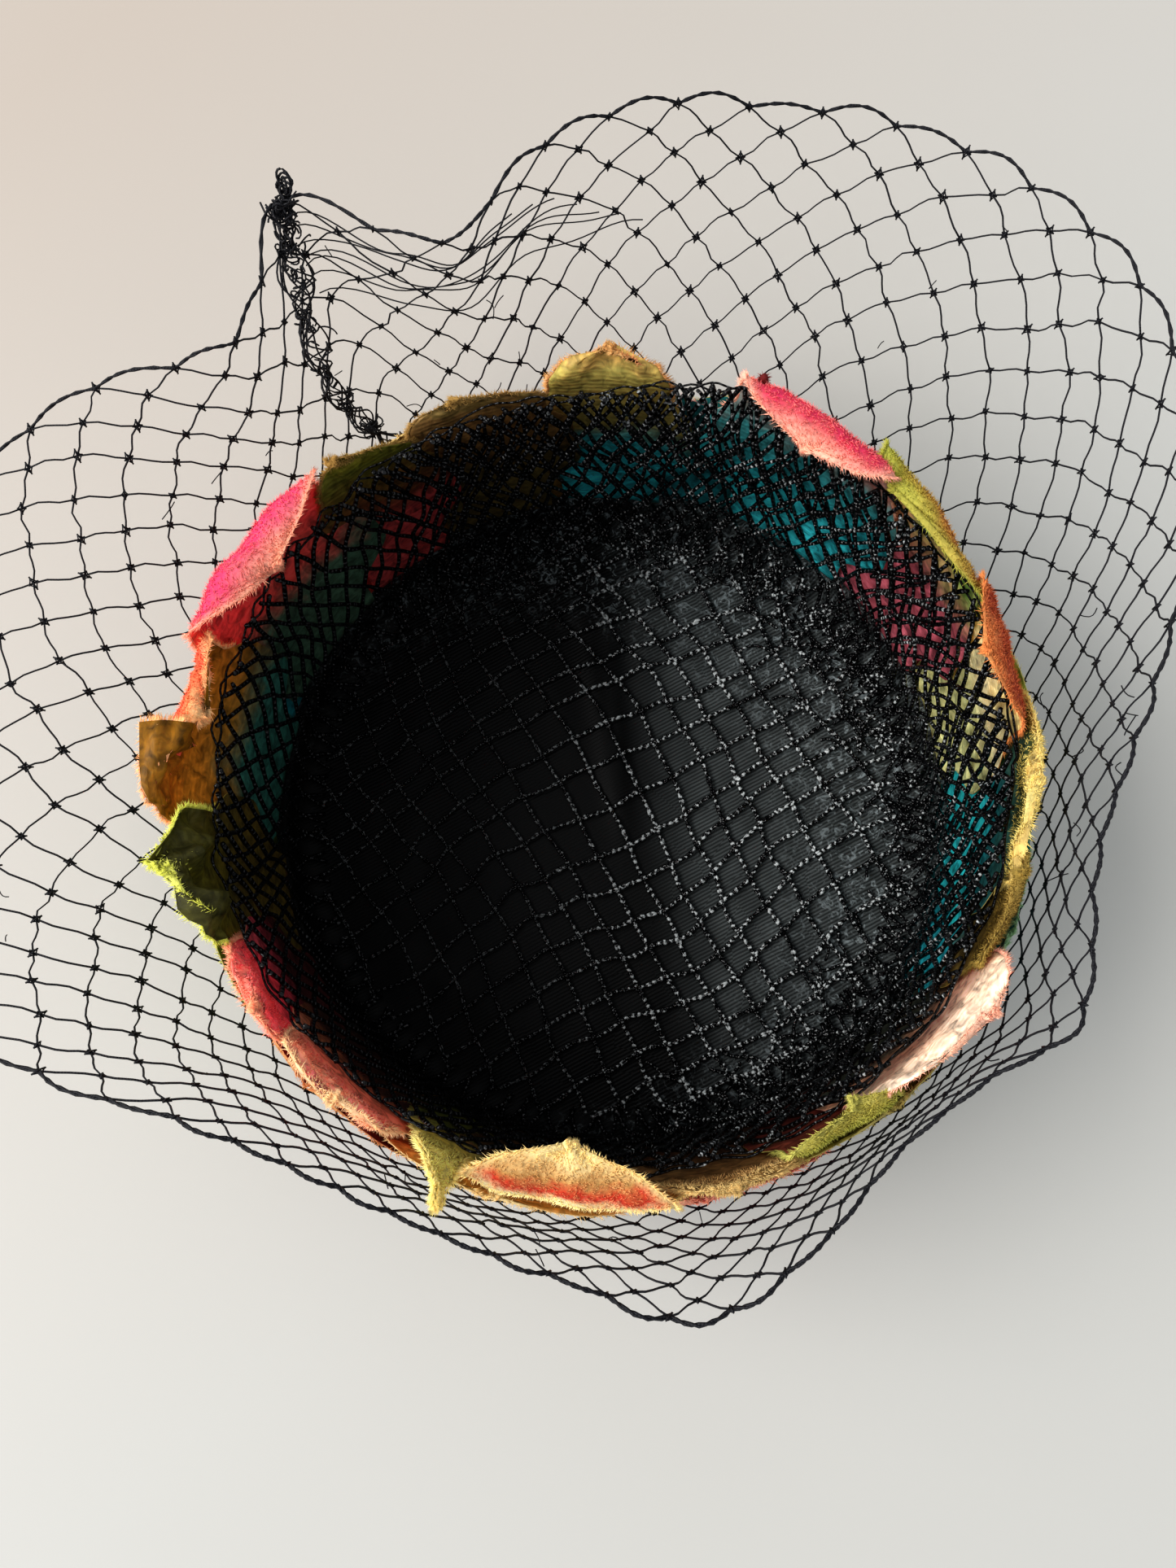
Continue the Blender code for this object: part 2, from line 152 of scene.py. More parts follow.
# Rim row: form of each petal and how it is dyed.
# form: first and last azimuth;  reach of the cloth past ROLL_START_Z;  bend at the first
# and at the last azimuth, in degrees, rolled inwards if positive and leaned outwards if
# negative;  kind of tip;  skew, by which the tip moves towards the last azimuth as a share
# of the width it loses;  millimetres that the top leans out at the first and at the last
# azimuth;  power by which the bend changes between them. Azimuths, reaches, bends and tips
# start from the source's and are fitted closer to the photograph.
# velvet: colours of the pile from foot to tip;  shares: where they lie on the tip, if not
# at the usual places;  sides: colours of the pile towards the two sides;  lining: the bare
# cloth inside it from foot to tip;  fringe: the pile round its edge;  wave and crinkle:
# height in millimetres of the ruffle along the tip and of the creases
RIM_PETALS = (
    ("petal_olive_back", (81, 99, 5.5, -26, -34, "round", 0.0, 1.5, 1.5, 1),
     dict(velvet=("8a3a30", "c8604c", "d8705c", "d89070"), lining=("44d4e0", "a89c58", "b8b060", "d0b468"),
          fringe="d8b070", wave=1.2, crinkle=0.7, slot="velvet_olive")),
    ("petal_brown_back", (100, 121, 1.5, -6, -4, "round", 0.3, 0.0, 0.0, 1),
     dict(velvet=("6a3c22", "8c5c34", "a0744c", "94743c"), lining=("7c6c3c", "8c6c40", "a88450", "947c48"),
          fringe="a4844c", wave=0.9, crinkle=0.4, slot="velvet_brown")),
    ("leaf_olive_left", (121, 137, 4, -8, -6, "point", 0.5, 0.5, 1.5, 1),
     dict(velvet=("4c5424", "6d7030", "7a7a38", "8a7a3c"), lining=("e05c5c", "8c5438", "787830", "7c7828"),
          fringe="a8844c", wave=0.6, crinkle=0.5, slot="velvet_olive")),
    ("petal_pink_left", (136, 164, 15.5, 110, 125, "round", 0.0, 5.0, 6.0, 1),
     dict(velvet=("dc4872", "dc3868", "e44c78", "d8887c"), lining=("5c8068", "e06058", "f06464", "f08070"),
          fringe="f4b898", wave=0.5, crinkle=0.2, slot="velvet_pink")),
    ("petal_ochre_left", (163, 188, 9.5, 105, -30, "round", 0.0, 4.5, 6.0, 3.5),
     dict(velvet=("fcc888", "f0684c", "f06048", "f8a068"), lining=("4c8c80", "b88c3c", "a07424", "8c6418"),
          fringe="f8d098", wave=1.2, crinkle=1.3, slot="velvet_ochre")),
    ("leaf_crinkled", (187, 206, 12, -42, -34, "round", 0.0, 0.5, 0.5, 1),
     dict(velvet=("98a83c", "c0c448", "d4d458", "e0e070"), lining=("806c30", "6c5c2c", "545024", "48461e"),
          fringe="e4e478", wave=2.4, crinkle=2.0, slot="velvet_green")),
    ("petal_coral_left", (206, 222, 4.5, -12, -8, "round", 0.3, 0.0, 0.0, 1),
     dict(velvet=("e84060", "ff5070", "ff5c80", "ff6c94"), lining=("5c2c2c", "a84450", "f47c84", "f8a08c"),
          fringe="f8c094", wave=0.8, crinkle=0.9, slot="velvet_coral")),
    ("petal_peach_left", (221, 240, 6, -12, -6, "round", 0.2, 0.2, 0.2, 1),
     dict(velvet=("f06068", "f87480", "f8a488", "f4c8a0"), lining=("4c3028", "b07050", "f8c09c", "fca0a0"),
          fringe="f8dcae", wave=0.9, crinkle=0.9, slot="velvet_coral")),
    ("leaf_yellow_front", (243.5, 250.5, 13, -22, -50, "point", 0.95, 0.5, 0.5, 1),
     dict(velvet=("c8c058", "d4c868", "e8e080", "f0e490"), lining=("6c7030", "c8b864", "dccc7c", "ecdc90"),
          fringe="f8e8a0", wave=0.5, crinkle=0.4, slot="velvet_green")),
    ("petal_gold_front", (252, 278, 15, 108, 118, "round", 0.0, 2.5, 2.5, 1),
     dict(velvet=("fff4c0", "d4402c", "c8985c", "f0d8a0"), lining=("5c4428", "a8804c", "c89858", "d0a868"),
          shares=(0.44, 0.6, 0.78, 1.0), fringe="fce8a8", wave=0.7, crinkle=0.3, slot="velvet_ochre")),
    ("petal_tan_front", (277, 295, 6, -6, -8, "round", 0.0, 1.5, 1.5, 1),
     dict(velvet=("a87848", "c09460", "ccac74", "d4bc84"), lining=("5c3c24", "8c6840", "b08c58", "b8965c"),
          fringe="d8bc80", wave=0.5, crinkle=0.3, slot="velvet_brown")),
    ("petal_green_front", (294, 310, 6.5, 70, 85, "round", 0.3, 1.5, 1.5, 1),
     dict(velvet=("8a9038", "a8a848", "bcb858", "b8a04c"), lining=("6c2c24", "8c4438", "a05840", "a09040"),
          fringe="c4c06c", wave=0.5, crinkle=0.3, slot="velvet_green")),
    ("petal_cream_right", (306, 333, 9.5, -18, -24, "round", 0.4, 0.0, 0.0, 1),
     dict(velvet=("c83050", "d87060", "ecb494", "f4ccac"), lining=("4c5044", "e0b08c", "fff0d4", "fff2dc"),
          fringe="f8c8b0", wave=0.4, crinkle=0.35, slot="velvet_coral")),
    ("leaf_olive_right", (331, 346, 8, 30, 20, "point", 0.6, 0.5, 0.5, 1),
     dict(velvet=("5c4c20", "7c6428", "94783c", "a88c4c"), lining=("38c8d8", "5c4c24", "7c6430", "8c7038"),
          fringe="a8904c", wave=0.5, crinkle=0.5, slot="velvet_olive")),
    ("petal_yellow_right", (343, 369, 4.5, 8, -6, "round", 0.0, 0.0, 0.3, 1),
     dict(velvet=("d0b858", "e0cc70", "e8d884", "ecdc90"), lining=("40dcec", "2c8088", "4c5430", "d4bc78"),
          fringe="ecd88c", wave=0.6, crinkle=0.3, slot="velvet_ochre")),
    ("petal_rust_right", (364, 386, 11, 80, 82, "round", 0.0, 0.0, 0.5, 1),
     dict(velvet=("fcc878", "cc6040", "b44c38", "a44a32"), lining=("f0fcc0", "fcfcd4", "f0e498", "7c5434"),
          fringe="e8a060", wave=0.25, crinkle=0.3, slot="velvet_red")),
    ("leaf_green_right", (383, 409, 6, 95, 115, "round", 0.7, 0.5, 3.5, 1),
     dict(velvet=("d8d868", "c06c44", "c07844", "b8a850"), lining=("f4889c", "f4889c", "a4cc6c", "70743c"),
          sides=("b8884c", "b4b44c"), fringe="b8b854", wave=0.5, crinkle=0.4, slot="velvet_green")),
    ("petal_pink_right", (404, 431, 13.5, 120, 128, "round", 0.0, 2.0, 2.5, 1),
     dict(velvet=("f0b09c", "e06076", "dc3862", "e88078"), lining=("4ce0ec", "60c0c4", "f09880", "f09880"),
          fringe="fccbb0", wave=0.4, crinkle=0.2, slot="velvet_pink")),
)

# Petals whose inner side has a nap too where it shows past the rim
FUZZY_INSIDE = ("petal_coral_left", "petal_peach_left", "leaf_yellow_front",
                "petal_tan_front", "leaf_olive_right", "petal_yellow_right")

# Where the pile's four colours lie: as shares of the tip of a petal that is rolled over
# the rim or of one that stands, and as shares of the height of an outer petal
ROLLED_SHARES = (0.16, 0.40, 0.64, 1.0)
STANDING_SHARES = (-0.2, 0.1, 0.6, 1.0)
OUTER_SHARES = (0.04, 0.42, 0.76, 1.0)
ROLLED_BEND = 60.0      # a petal counts as rolled if it bends in by more degrees

# Outer row: pile colours from foot to tip, lining, fringe and the material slot
OUTER_PETALS = (
    (("1c6c78", "2c8c94", "58a89c", "a8bc70"), "b8545c", "b8c47c", "velvet_teal"),
    (("4c5424", "6f7a34", "909448", "b0a85c"), "2c9098", "b8b068", "velvet_olive"),
    (("8c2438", "c8405c", "e0607c", "eca098"), "2c9098", "f0b4a8", "velvet_pink"),
    (("7c5c1c", "b08a2c", "d0a850", "e0c078"), "8c6c30", "e4c888", "velvet_ochre"),
    (("a84030", "d87058", "e89470", "f0b890"), "b04838", "f0c0a0", "velvet_coral"),
    (("28686c", "4a8a86", "74a48c", "b4b470"), "2c8890", "bcbc80", "velvet_teal"),
    (("5c6824", "8f9a3c", "b0b458", "ccc878"), "5c6824", "d0cc88", "velvet_green"),
    (("6c2820", "a84c30", "c87048", "d89c60"), "6c2820", "dca470", "velvet_red"),
    (("9c6c30", "d9a25a", "e8bc78", "f0d498"), "d0a060", "f0d8a4", "velvet_ochre"),
    (("942c44", "c8485c", "e06c70", "e89878"), "c8586c", "eca890", "velvet_pink"),
    (("50501c", "7d7a2c", "9c9444", "bcac60"), "7c702c", "c4b470", "velvet_olive"),
    (("1c6c78", "2c8c94", "4ca4a4", "8cb888"), "2c9098", "98bc90", "velvet_teal"),
    (("647424", "9ea83c", "b8bc58", "d0cc80"), "8ca048", "d4d08c", "velvet_green"),
)

# Layers of net on the lining's wall: the whole wall, a second one at the back and right,
# and the loose top of a third there. The families of cords are given as their number and
# the degrees they turn from foot to rim.
WALL_NETS = (
    # families                   from, to    inset  girth  seed  starts at
    (((88, 19.0), (90, -18.0)), (0, 360),    0.3,   1.20,  31,   0.0),
    (((38, 27.0), (40, -24.0)), (-72, 128),  1.1,   1.15,  41,   0.0),
    (((22, 20.0), (24, -22.0)), (30, 128),   1.7,   1.20,  61,   0.58),
)

# Folds in the crown cloth that run down from the back
CROWN_FOLDS = (
    # x at y 60  slant   half width  back end  front end  share of the height
    (-9.0,       0.18,   3.2,        66,       -18,       1.0),
    (-2.0,       0.10,   2.4,        68,       -8,        0.8),
    (-24.0,      0.30,   4.5,        60,       0,         0.45),
    (12.0,       -0.15,  4.0,        64,       18,        0.5),
)

# Where the veil's seam is tied into knots, as shares of its length
SEAM_KNOTS = (0.06, 0.24, 0.40, 0.55, 0.70, 0.82, 0.90, 0.96, 0.99, 1.0)

# Resolution of the surfaces
PETAL_ACROSS = 28
PETAL_ALONG = 40
OUTER_ACROSS = 22
OUTER_ALONG = 26
CROWN_AROUND = 180
FINE = 64               # steps along a section when its length is measured

# Counts of tufts of pile
RIM_TIP_HAIRS = 2700
RIM_WALL_HAIRS = 450
RIM_EDGE_HAIRS = 1150
INSIDE_FACE_HAIRS = 900
INSIDE_EDGE_HAIRS = 300
OUTER_FACE_HAIRS = 1400
OUTER_EDGE_HAIRS = 450
STALK_HAIRS = 420

# Counts of threads
VEIL_COLUMNS = 60
VEIL_ROWS = 14
VEIL_STRAYS = 46
FOLD_THREADS = 7
SEAM_STRANDS = 8
SEAM_CURLS = 165
SEAM_LOOPS = 6
CROWN_CORDS = 10        # on each side of the middle one, in each family
GATHER_FANS = 56
GATHER_CURLS = 48
BINDING_STRANDS = 2


def linear(hex_colour, alpha=1.0):
    """Linear RGBA of an sRGB hex colour, by the standard's two-part curve."""
    channels = [int(hex_colour[i:i + 2], 16) / 255 for i in (0, 2, 4)]
    return (*(c / 12.92 if c <= 0.04045 else ((c + 0.055) / 1.055) ** 2.4 for c in channels), alpha)


def length_setting(name, description, millimetres):
    """A length that the user can change, given in millimetres."""
    return bpy.props.FloatProperty(name=name, description=description, default=millimetres * MM,
                                   min=0.0, precision=5, subtype='DISTANCE', unit='LENGTH')


def colour_setting(name, description, hex_colour):
    """A colour that the user can change, given as sRGB hex."""
    return bpy.props.FloatVectorProperty(name=name, description=description, size=4, min=0.0, max=1.0,
                                         default=linear(hex_colour), subtype='COLOR')


class HatSizes(bpy.types.PropertyGroup):
    """Sizes of threads, pile and cloth."""

    veil_thread: length_setting("Veil thread", "Thickness of the veil's single thread", 0.44)
    veil_knot: length_setting("Veil knot", "Width of a knot of the veil", 2.2)
    veil_edge: length_setting("Veil edge", "Thickness of each strand of the veil's edge cord", 0.6)
    lining_cord: length_setting("Lining cord", "Thickness of the lining's twisted cord", 0.9)
    crown_mesh: length_setting("Crown mesh", "Side of a mesh of the net over the crown", 8.4)
    pile_length: length_setting("Pile length", "Length of the velvet's pile", 1.1)
    pile_width: length_setting("Pile width", "Width of a tuft of pile at its root", 0.22)
    petal_sheet: length_setting("Petal cloth", "Thickness of a petal without its pile", 0.6)
    fold_height: length_setting("Crown folds", "Height of the folds in the crown cloth", 1.1)


class HatColours(bpy.types.PropertyGroup):
    """Colours that run through several pieces."""

    thread: colour_setting("Veil thread", "Dyed cotton thread of the veil", "0b0b0f")
    cord: colour_setting("Lining cord", "Glazed cord of the lining", "050507")
    # Colour of the highlights painted on the cord's twist
    glint: colour_setting("Cord glint", "Light that the twist of the cord catches", "a8acac")
    taffeta: colour_setting("Crown cloth", "Ribbed taffeta of the crown", "424646")
    floor: colour_setting("Floor", "Plain floor under the hat", "b3b2ae")


# Shape functions: arrays of points in millimetres

def polar(radius, azimuth, height):
    """Points (r cos a, r sin a, z) for radius r, azimuth a in degrees and height z."""
    turn = np.radians(azimuth)
    return np.stack(np.broadcast_arrays(radius * np.cos(turn), radius * np.sin(turn), height), -1)


def ripple(x, y, size, seed):
    """Smooth bumps from about -1 to 1: a sum of seven sine waves in seeded directions,
    each about size long, divided by the root of their number."""
    number = 7
    rng = np.random.default_rng(seed)
    turn = rng.uniform(0, 2 * np.pi, number)
    phase = rng.uniform(0, 2 * np.pi, number)
    pitch = 2 * np.pi / (size * rng.uniform(0.7, 1.4, number))
    x = np.asarray(x, float)[..., None]
    y = np.asarray(y, float)[..., None]
    waves = np.sin((x * np.cos(turn) + y * np.sin(turn)) * pitch + phase)
    return waves.sum(-1) / np.sqrt(number)


def unit(vectors):
    """Each vector divided by its length."""
    return vectors / np.maximum(np.linalg.norm(vectors, axis=-1, keepdims=True), 1e-9)


def normals(grid):
    """Unit normals of a grid of points: first axis x second axis."""
    return unit(np.cross(np.gradient(grid, axis=0), np.gradient(grid, axis=1)))


def eased(x, low, high):
    """0 below low, 1 above high, and 3t^2 - 2t^3 between them."""
    t = np.clip((x - low) / (high - low), 0, 1)
    return t * t * (3 - 2 * t)


def eased_table(x, heights, values):
    """Values of a table at x, eased from each row to the next by 3t^2 - 2t^3."""
    heights = np.asarray(heights, float)
    values = np.asarray(values, float)
    k = np.clip(np.searchsorted(heights, x, side="right") - 1, 0, len(heights) - 2)
    t = eased(x, heights[k], heights[k + 1])
    return values[k] + t * (values[k + 1] - values[k])


class Shape:
    """Points, groups of faces with a material slot each, a UV and a pile value for each point."""

    def __init__(self, points, groups, uv=None, pile=None):
        self.points = np.asarray(points, float).reshape(-1, 3)
        self.groups = groups
        count = len(self.points)
        self.uv = np.zeros((count, 2)) if uv is None else np.asarray(uv, float).reshape(-1, 2)
        self.pile = np.zeros(count) if pile is None else np.asarray(pile, float).ravel()


def joined(shapes):
    """One shape from several, their faces renumbered."""
    groups = []
    start = 0
    for shape in shapes:
        groups += [(faces + start, slot) for faces, slot in shape.groups]
        start += len(shape.points)
    return Shape(np.concatenate([s.points for s in shapes]), groups,
                 np.concatenate([s.uv for s in shapes]), np.concatenate([s.pile for s in shapes]))


def put(shape, name, materials, nodes):
    """Make a shape's mesh in metres as a piece that rides on the hat and stands for solids."""
    mesh = bpy.data.meshes.new(name)
    mesh.vertices.add(len(shape.points))
    mesh.vertices.foreach_set("co", (shape.points * MM).astype(np.float32).ravel())
    corners = np.concatenate([faces.ravel() for faces, _ in shape.groups])
    sizes = np.concatenate([np.full(len(faces), faces.shape[1]) for faces, _ in shape.groups])
    slots = np.concatenate([np.full(len(faces), index) for faces, index in shape.groups])
    mesh.loops.add(len(corners))
    mesh.loops.foreach_set("vertex_index", corners.astype(np.int32))
    mesh.polygons.add(len(sizes))
    mesh.polygons.foreach_set("loop_start", np.concatenate([[0], np.cumsum(sizes)[:-1]]).astype(np.int32))
    mesh.polygons.foreach_set("material_index", slots.astype(np.int32))
    layer = mesh.uv_layers.new(name="UVMap")
    layer.data.foreach_set("uv", shape.uv[corners].astype(np.float32).ravel())
    pile = mesh.attributes.new("pile", 'FLOAT', 'POINT')
    pile.data.foreach_set("value", shape.pile.astype(np.float32))
    mesh.update(calc_edges=True)
    mesh.validate()
    mesh.shade_smooth()
    for material in materials:
        mesh.materials.append(material)
    piece = bpy.data.objects.new(name, mesh)
    bpy.context.scene.collection.objects.link(piece)
    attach(piece, BODY)
    if nodes:
        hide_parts(*nodes)
    return piece


def grid_faces(index, slot, wrap=False):
    """Quads over a grid of point numbers that face the way first axis x second axis points."""
    if wrap:
        index = np.concatenate([index, index[:1]])
    quads = np.stack([index[:-1, :-1], index[1:, :-1], index[1:, 1:], index[:-1, 1:]], -1)
    return quads.reshape(-1, 4), slot


def tubes(paths, radii, sides, slot=0, uv_offset=0.0):
    """Closed tubes along many paths of equal count: round point c of a path, with u and w
    across its tangent, the ring is c + r (u cos a + w sin a). UV is a share of the tube's
    number and the distance along it."""
    paths = np.asarray(paths, float)
    count, length = paths.shape[:2]
    tangent = unit(np.gradient(paths, axis=1))
    chord = np.abs(paths[:, -1] - paths[:, 0])
    reference = np.eye(3)[np.argmin(chord, axis=1)][:, None]
    u = unit(np.cross(tangent, reference))
    w = np.cross(tangent, u)
    turn = 2 * np.pi * np.arange(sides) / sides
    radii = np.broadcast_to(np.asarray(radii, float), (count, length))[:, :, None, None]
    rings = paths[:, :, None] + radii * (u[:, :, None] * np.cos(turn)[:, None]
                                         + w[:, :, None] * np.sin(turn)[:, None])
    index = np.arange(count * length * sides).reshape(count, length, sides)
    around = np.roll(index, -1, axis=2)
    walls = np.stack([index[:, :-1], around[:, :-1], around[:, 1:], index[:, 1:]], -1)
    ends = np.concatenate([index[:, 0, ::-1], index[:, -1]])
    steps = np.linalg.norm(np.diff(paths, axis=1), axis=-1)
    distance = np.concatenate([np.zeros((count, 1)), np.cumsum(steps, axis=1)], axis=1)
    numbers = np.broadcast_to(np.arange(count)[:, None], (count, length))
    uv = np.stack([numbers * 0.37 + uv_offset, distance], -1)
    uv = np.broadcast_to(uv[:, :, None], (count, length, sides, 2))
    return Shape(rings, [(walls.reshape(-1, 4), slot), (ends, slot)], uv)


def closed_tube(path, radius, sides, slot=0):
    """A tube along one closed path, its last ring joined to its first."""
    path = np.asarray(path, float)
    tangent = unit(np.roll(path, -1, axis=0) - np.roll(path, 1, axis=0))
    u = unit(np.cross(tangent, [0.0, 0.0, 1.0]))
    w = np.cross(tangent, u)
    turn = 2 * np.pi * np.arange(sides) / sides
    rings = path[:, None] + radius * (u[:, None] * np.cos(turn)[:, None]
                                      + w[:, None] * np.sin(turn)[:, None])
    index = np.arange(len(path) * sides).reshape(len(path), sides)
    after = np.roll(index, -1, axis=0)
    around = np.roll(index, -1, axis=1)
    both = np.roll(after, -1, axis=1)
    walls = np.stack([index, around, both, after], -1).reshape(-1, 4)
    steps = np.linalg.norm(np.roll(path, -1, axis=0) - path, axis=-1)
    distance = np.concatenate([[0.0], np.cumsum(steps)[:-1]])
    uv = np.broadcast_to(np.stack([np.zeros_like(distance), distance], -1)[:, None],
                         (len(path), sides, 2))
    return Shape(rings, [(walls, slot)], uv)


def sheet(outer, thickness, face_slot, back_slot):
    """A closed sheet: the outer grid, the same grid moved back along its normals by the
    thickness, thinned to a third at the free edges, and a strip of faces round the edge."""
    across, along = outer.shape[:2]
    a = np.linspace(0, 1, across)[:, None]
    b = np.linspace(0, 1, along)[None]
    edge = np.minimum(np.minimum(a, 1 - a) * 8, (1 - b) * 12)
    depth = thickness * (0.3 + 0.7 * np.clip(edge, 0, 1))
    inner = outer - normals(outer) * depth[..., None]
    front = np.arange(across * along).reshape(across, along)
    back = front + across * along
    border = [(front[:, 0], back[:, 0]), (front[-1], back[-1]),
              (front[::-1, -1], back[::-1, -1]), (front[0, ::-1], back[0, ::-1])]
    strips = [np.stack([near[:-1], far[:-1], far[1:], near[1:]], -1) for near, far in border]
    uv = np.stack(np.broadcast_arrays(a, b), -1)
    groups = [grid_faces(front, face_slot), (grid_faces(back, back_slot)[0][:, ::-1], back_slot),
              (np.concatenate(strips), face_slot)]
    return Shape(np.concatenate([outer.reshape(-1, 3), inner.reshape(-1, 3)]), groups,
                 np.concatenate([uv, uv]))


def sample(grid, across, along):
    """Points of a grid at shares across and along it, each between the four around it."""
    x = across * (grid.shape[0] - 1)
    y = along * (grid.shape[1] - 1)
    i = np.clip(x.astype(int), 0, grid.shape[0] - 2)
    j = np.clip(y.astype(int), 0, grid.shape[1] - 2)
    fx = (x - i)[:, None]
    fy = (y - j)[:, None]
    return (grid[i, j] * (1 - fx) * (1 - fy) + grid[i + 1, j] * fx * (1 - fy)
            + grid[i, j + 1] * (1 - fx) * fy + grid[i + 1, j + 1] * fx * fy)


def tufts(roots, directions, lengths, width, across, along, slot=0):
    """Tufts of pile: from each root a three-sided spike to root + length x direction, its
    base a triangle of the given width sunk a little into the cloth."""
    count = len(roots)
    directions = unit(directions)
    side = unit(np.cross(directions, np.roll(directions, 1, axis=1) + 0.31))
    other = np.cross(directions, side)
    turn = 2 * np.pi * np.arange(3) / 3
    base = (roots - directions * 0.12)[:, None] + width / 2 * (
        side[:, None] * np.cos(turn)[:, None] + other[:, None] * np.sin(turn)[:, None])
    tip = roots + directions * lengths[:, None]
    points = np.concatenate([base, tip[:, None]], axis=1)
    index = np.arange(count * 4).reshape(count, 4)
    faces = np.concatenate([index[:, [2, 1, 0]], index[:, [0, 1, 3]], index[:, [1, 2, 3]],
                            index[:, [2, 0, 3]]])
    uv = np.broadcast_to(np.stack([across, along], -1)[:, None], (count, 4, 2))
    # pile is 1 at a tuft's tip and 0.15 at its root; the velvet paints the tips lighter by it, a painted
    # highlight
    pile = np.broadcast_to(np.array([0.15, 0.15, 0.15, 1.0]), (count, 4))
    return Shape(points, [(faces, slot)], uv, pile)


def pile_on(outer, rng, face_count, low, high, edge_count, edge_low, length, width):
    """Pile over the outer grid between two shares of its height, leaning to its tip and
    combed by a slow ripple, and a fringe round its sides and tip."""
    du = unit(np.gradient(outer, axis=0))
    dv = unit(np.gradient(outer, axis=1))
    normal = unit(np.cross(du, dv))
    a = rng.uniform(0.02, 0.98, face_count)
    b = rng.uniform(low, high, face_count)
    comb = ripple(a * 40, b * 60, 9.0, int(rng.integers(1, 9999)))[:, None]
    loose = rng.normal(0, 0.28, (face_count, 3))
    lay = sample(normal, a, b) * 0.62 + sample(dv, a, b) * 0.55 + sample(du, a, b) * 0.55 * comb + loose
    size = length * rng.uniform(0.65, 1.25, face_count)
    face = tufts(sample(outer, a, b), lay, size, width, a, b)
    sides = int(edge_count * 0.55)
    tips = edge_count - sides
    a = np.concatenate([rng.integers(0, 2, sides).astype(float), rng.uniform(0, 1, tips)])
    b = np.concatenate([rng.uniform(edge_low, 1, sides), np.ones(tips)])
    away = np.where(a[:, None] < 0.5, -sample(du, a, b), sample(du, a, b))
    away[sides:] = sample(dv, a[sides:], b[sides:])
    loose = rng.normal(0, 0.3, (edge_count, 3))
    lay = away * 0.9 + sample(normal, a, b) * 0.25 + sample(dv, a, b) * 0.25 + loose
    size = length * rng.uniform(0.8, 1.9, edge_count)
    return joined([face, tufts(sample(outer, a, b), lay, size, width, a, b)])


def tip_width(taper, along):
    """Share of the span left at a share t of the tip: sqrt(1 - t^2.4) and at least 0.10 on
    a round petal, 1 - t^1.3 and at least 0.07 on a pointed leaf."""
    along = np.clip(along, 0, 1)
    if taper == "round":
        return np.maximum(np.sqrt(np.clip(1 - along ** 2.4, 0, 1)), 0.10)
    return np.maximum(1 - along ** 1.3, 0.07)


def rim_petal(form, wave, crinkle, seed):
    """Inner face of a rim petal as a grid, across by along.

    Up to the bend it stands at radius 82.3 + 0.09 (a - tucked azimuth), leaned out by the
    lean as it nears the rim. Past it the cloth follows a circle whose turn is the bend,
    from one side's value to the other's, so the height is start + R sin t and the radius
    changes by -R (1 - cos t). The width is eased through its rows and then tapers with the
    tip. Ruffles and creases grow from nothing below the rim.
    """
    start, end, reach, bend, bend_to, taper, skew, lean, lean_to, power = form
    middle = (start + end) / 2
    half = (end - start) / 2
    across = np.linspace(0, 1, PETAL_ACROSS + 1)[:, None]
    along = np.linspace(0, 1, PETAL_ALONG + 1)[None]
    turn_whole = bend + (bend_to - bend) * across ** power
    turn_whole = np.where(np.abs(turn_whole) < 1, 1.0, turn_whole)
    begin = np.where(turn_whole > 0, ROLL_START_Z, LEAN_START_Z)
    length = ROLL_START_Z + reach - begin
    travel = along * (ROLL_START_Z + reach - PETAL_FOOT_Z)
    climbed = PETAL_FOOT_Z + travel
    past = (travel - (begin - PETAL_FOOT_Z)) / length
    turn = np.radians(turn_whole) * np.clip(past, 0, 1)
    radius = length / np.radians(turn_whole)
    height = np.where(past > 0, begin + radius * np.sin(turn), climbed)
    shift = -radius * (1 - np.cos(turn))
    rows = [(level, share * (half + spread)) for level, share, spread in RIM_WIDTHS]
    width = eased_table(climbed, *zip(*rows)) * np.where(past > 0, tip_width(taper, past), 1)
    free = eased(climbed, 64, 74)
    width = width * (1 + 0.035 * ripple(along * 40, across * 0, 7.0, seed) * free)
    azimuth = middle + skew * (half - width) * (past > 0) + width * (2 * across - 1)
    tucked = start - RIM_SPREAD
    base = RIM_BASE_R + RIM_SLOPE * (azimuth - tucked)
    base = base + (lean + (lean_to - lean) * across) * eased(climbed, 40, 72)
    points = polar(base + shift, azimuth, height)
    x = across * half * 2 * 1.45        # about millimetres across the petal
    ruffle = wave * ripple(x, travel * 0.35, 13.0, seed + 1)
    crease = crinkle * (0.6 * ripple(x, travel, 5.5, seed + 2)
                        - 0.7 * np.abs(ripple(x, travel, 8.0, seed + 3)))
    return points + normals(points) * ((ruffle + crease) * free)[..., None]


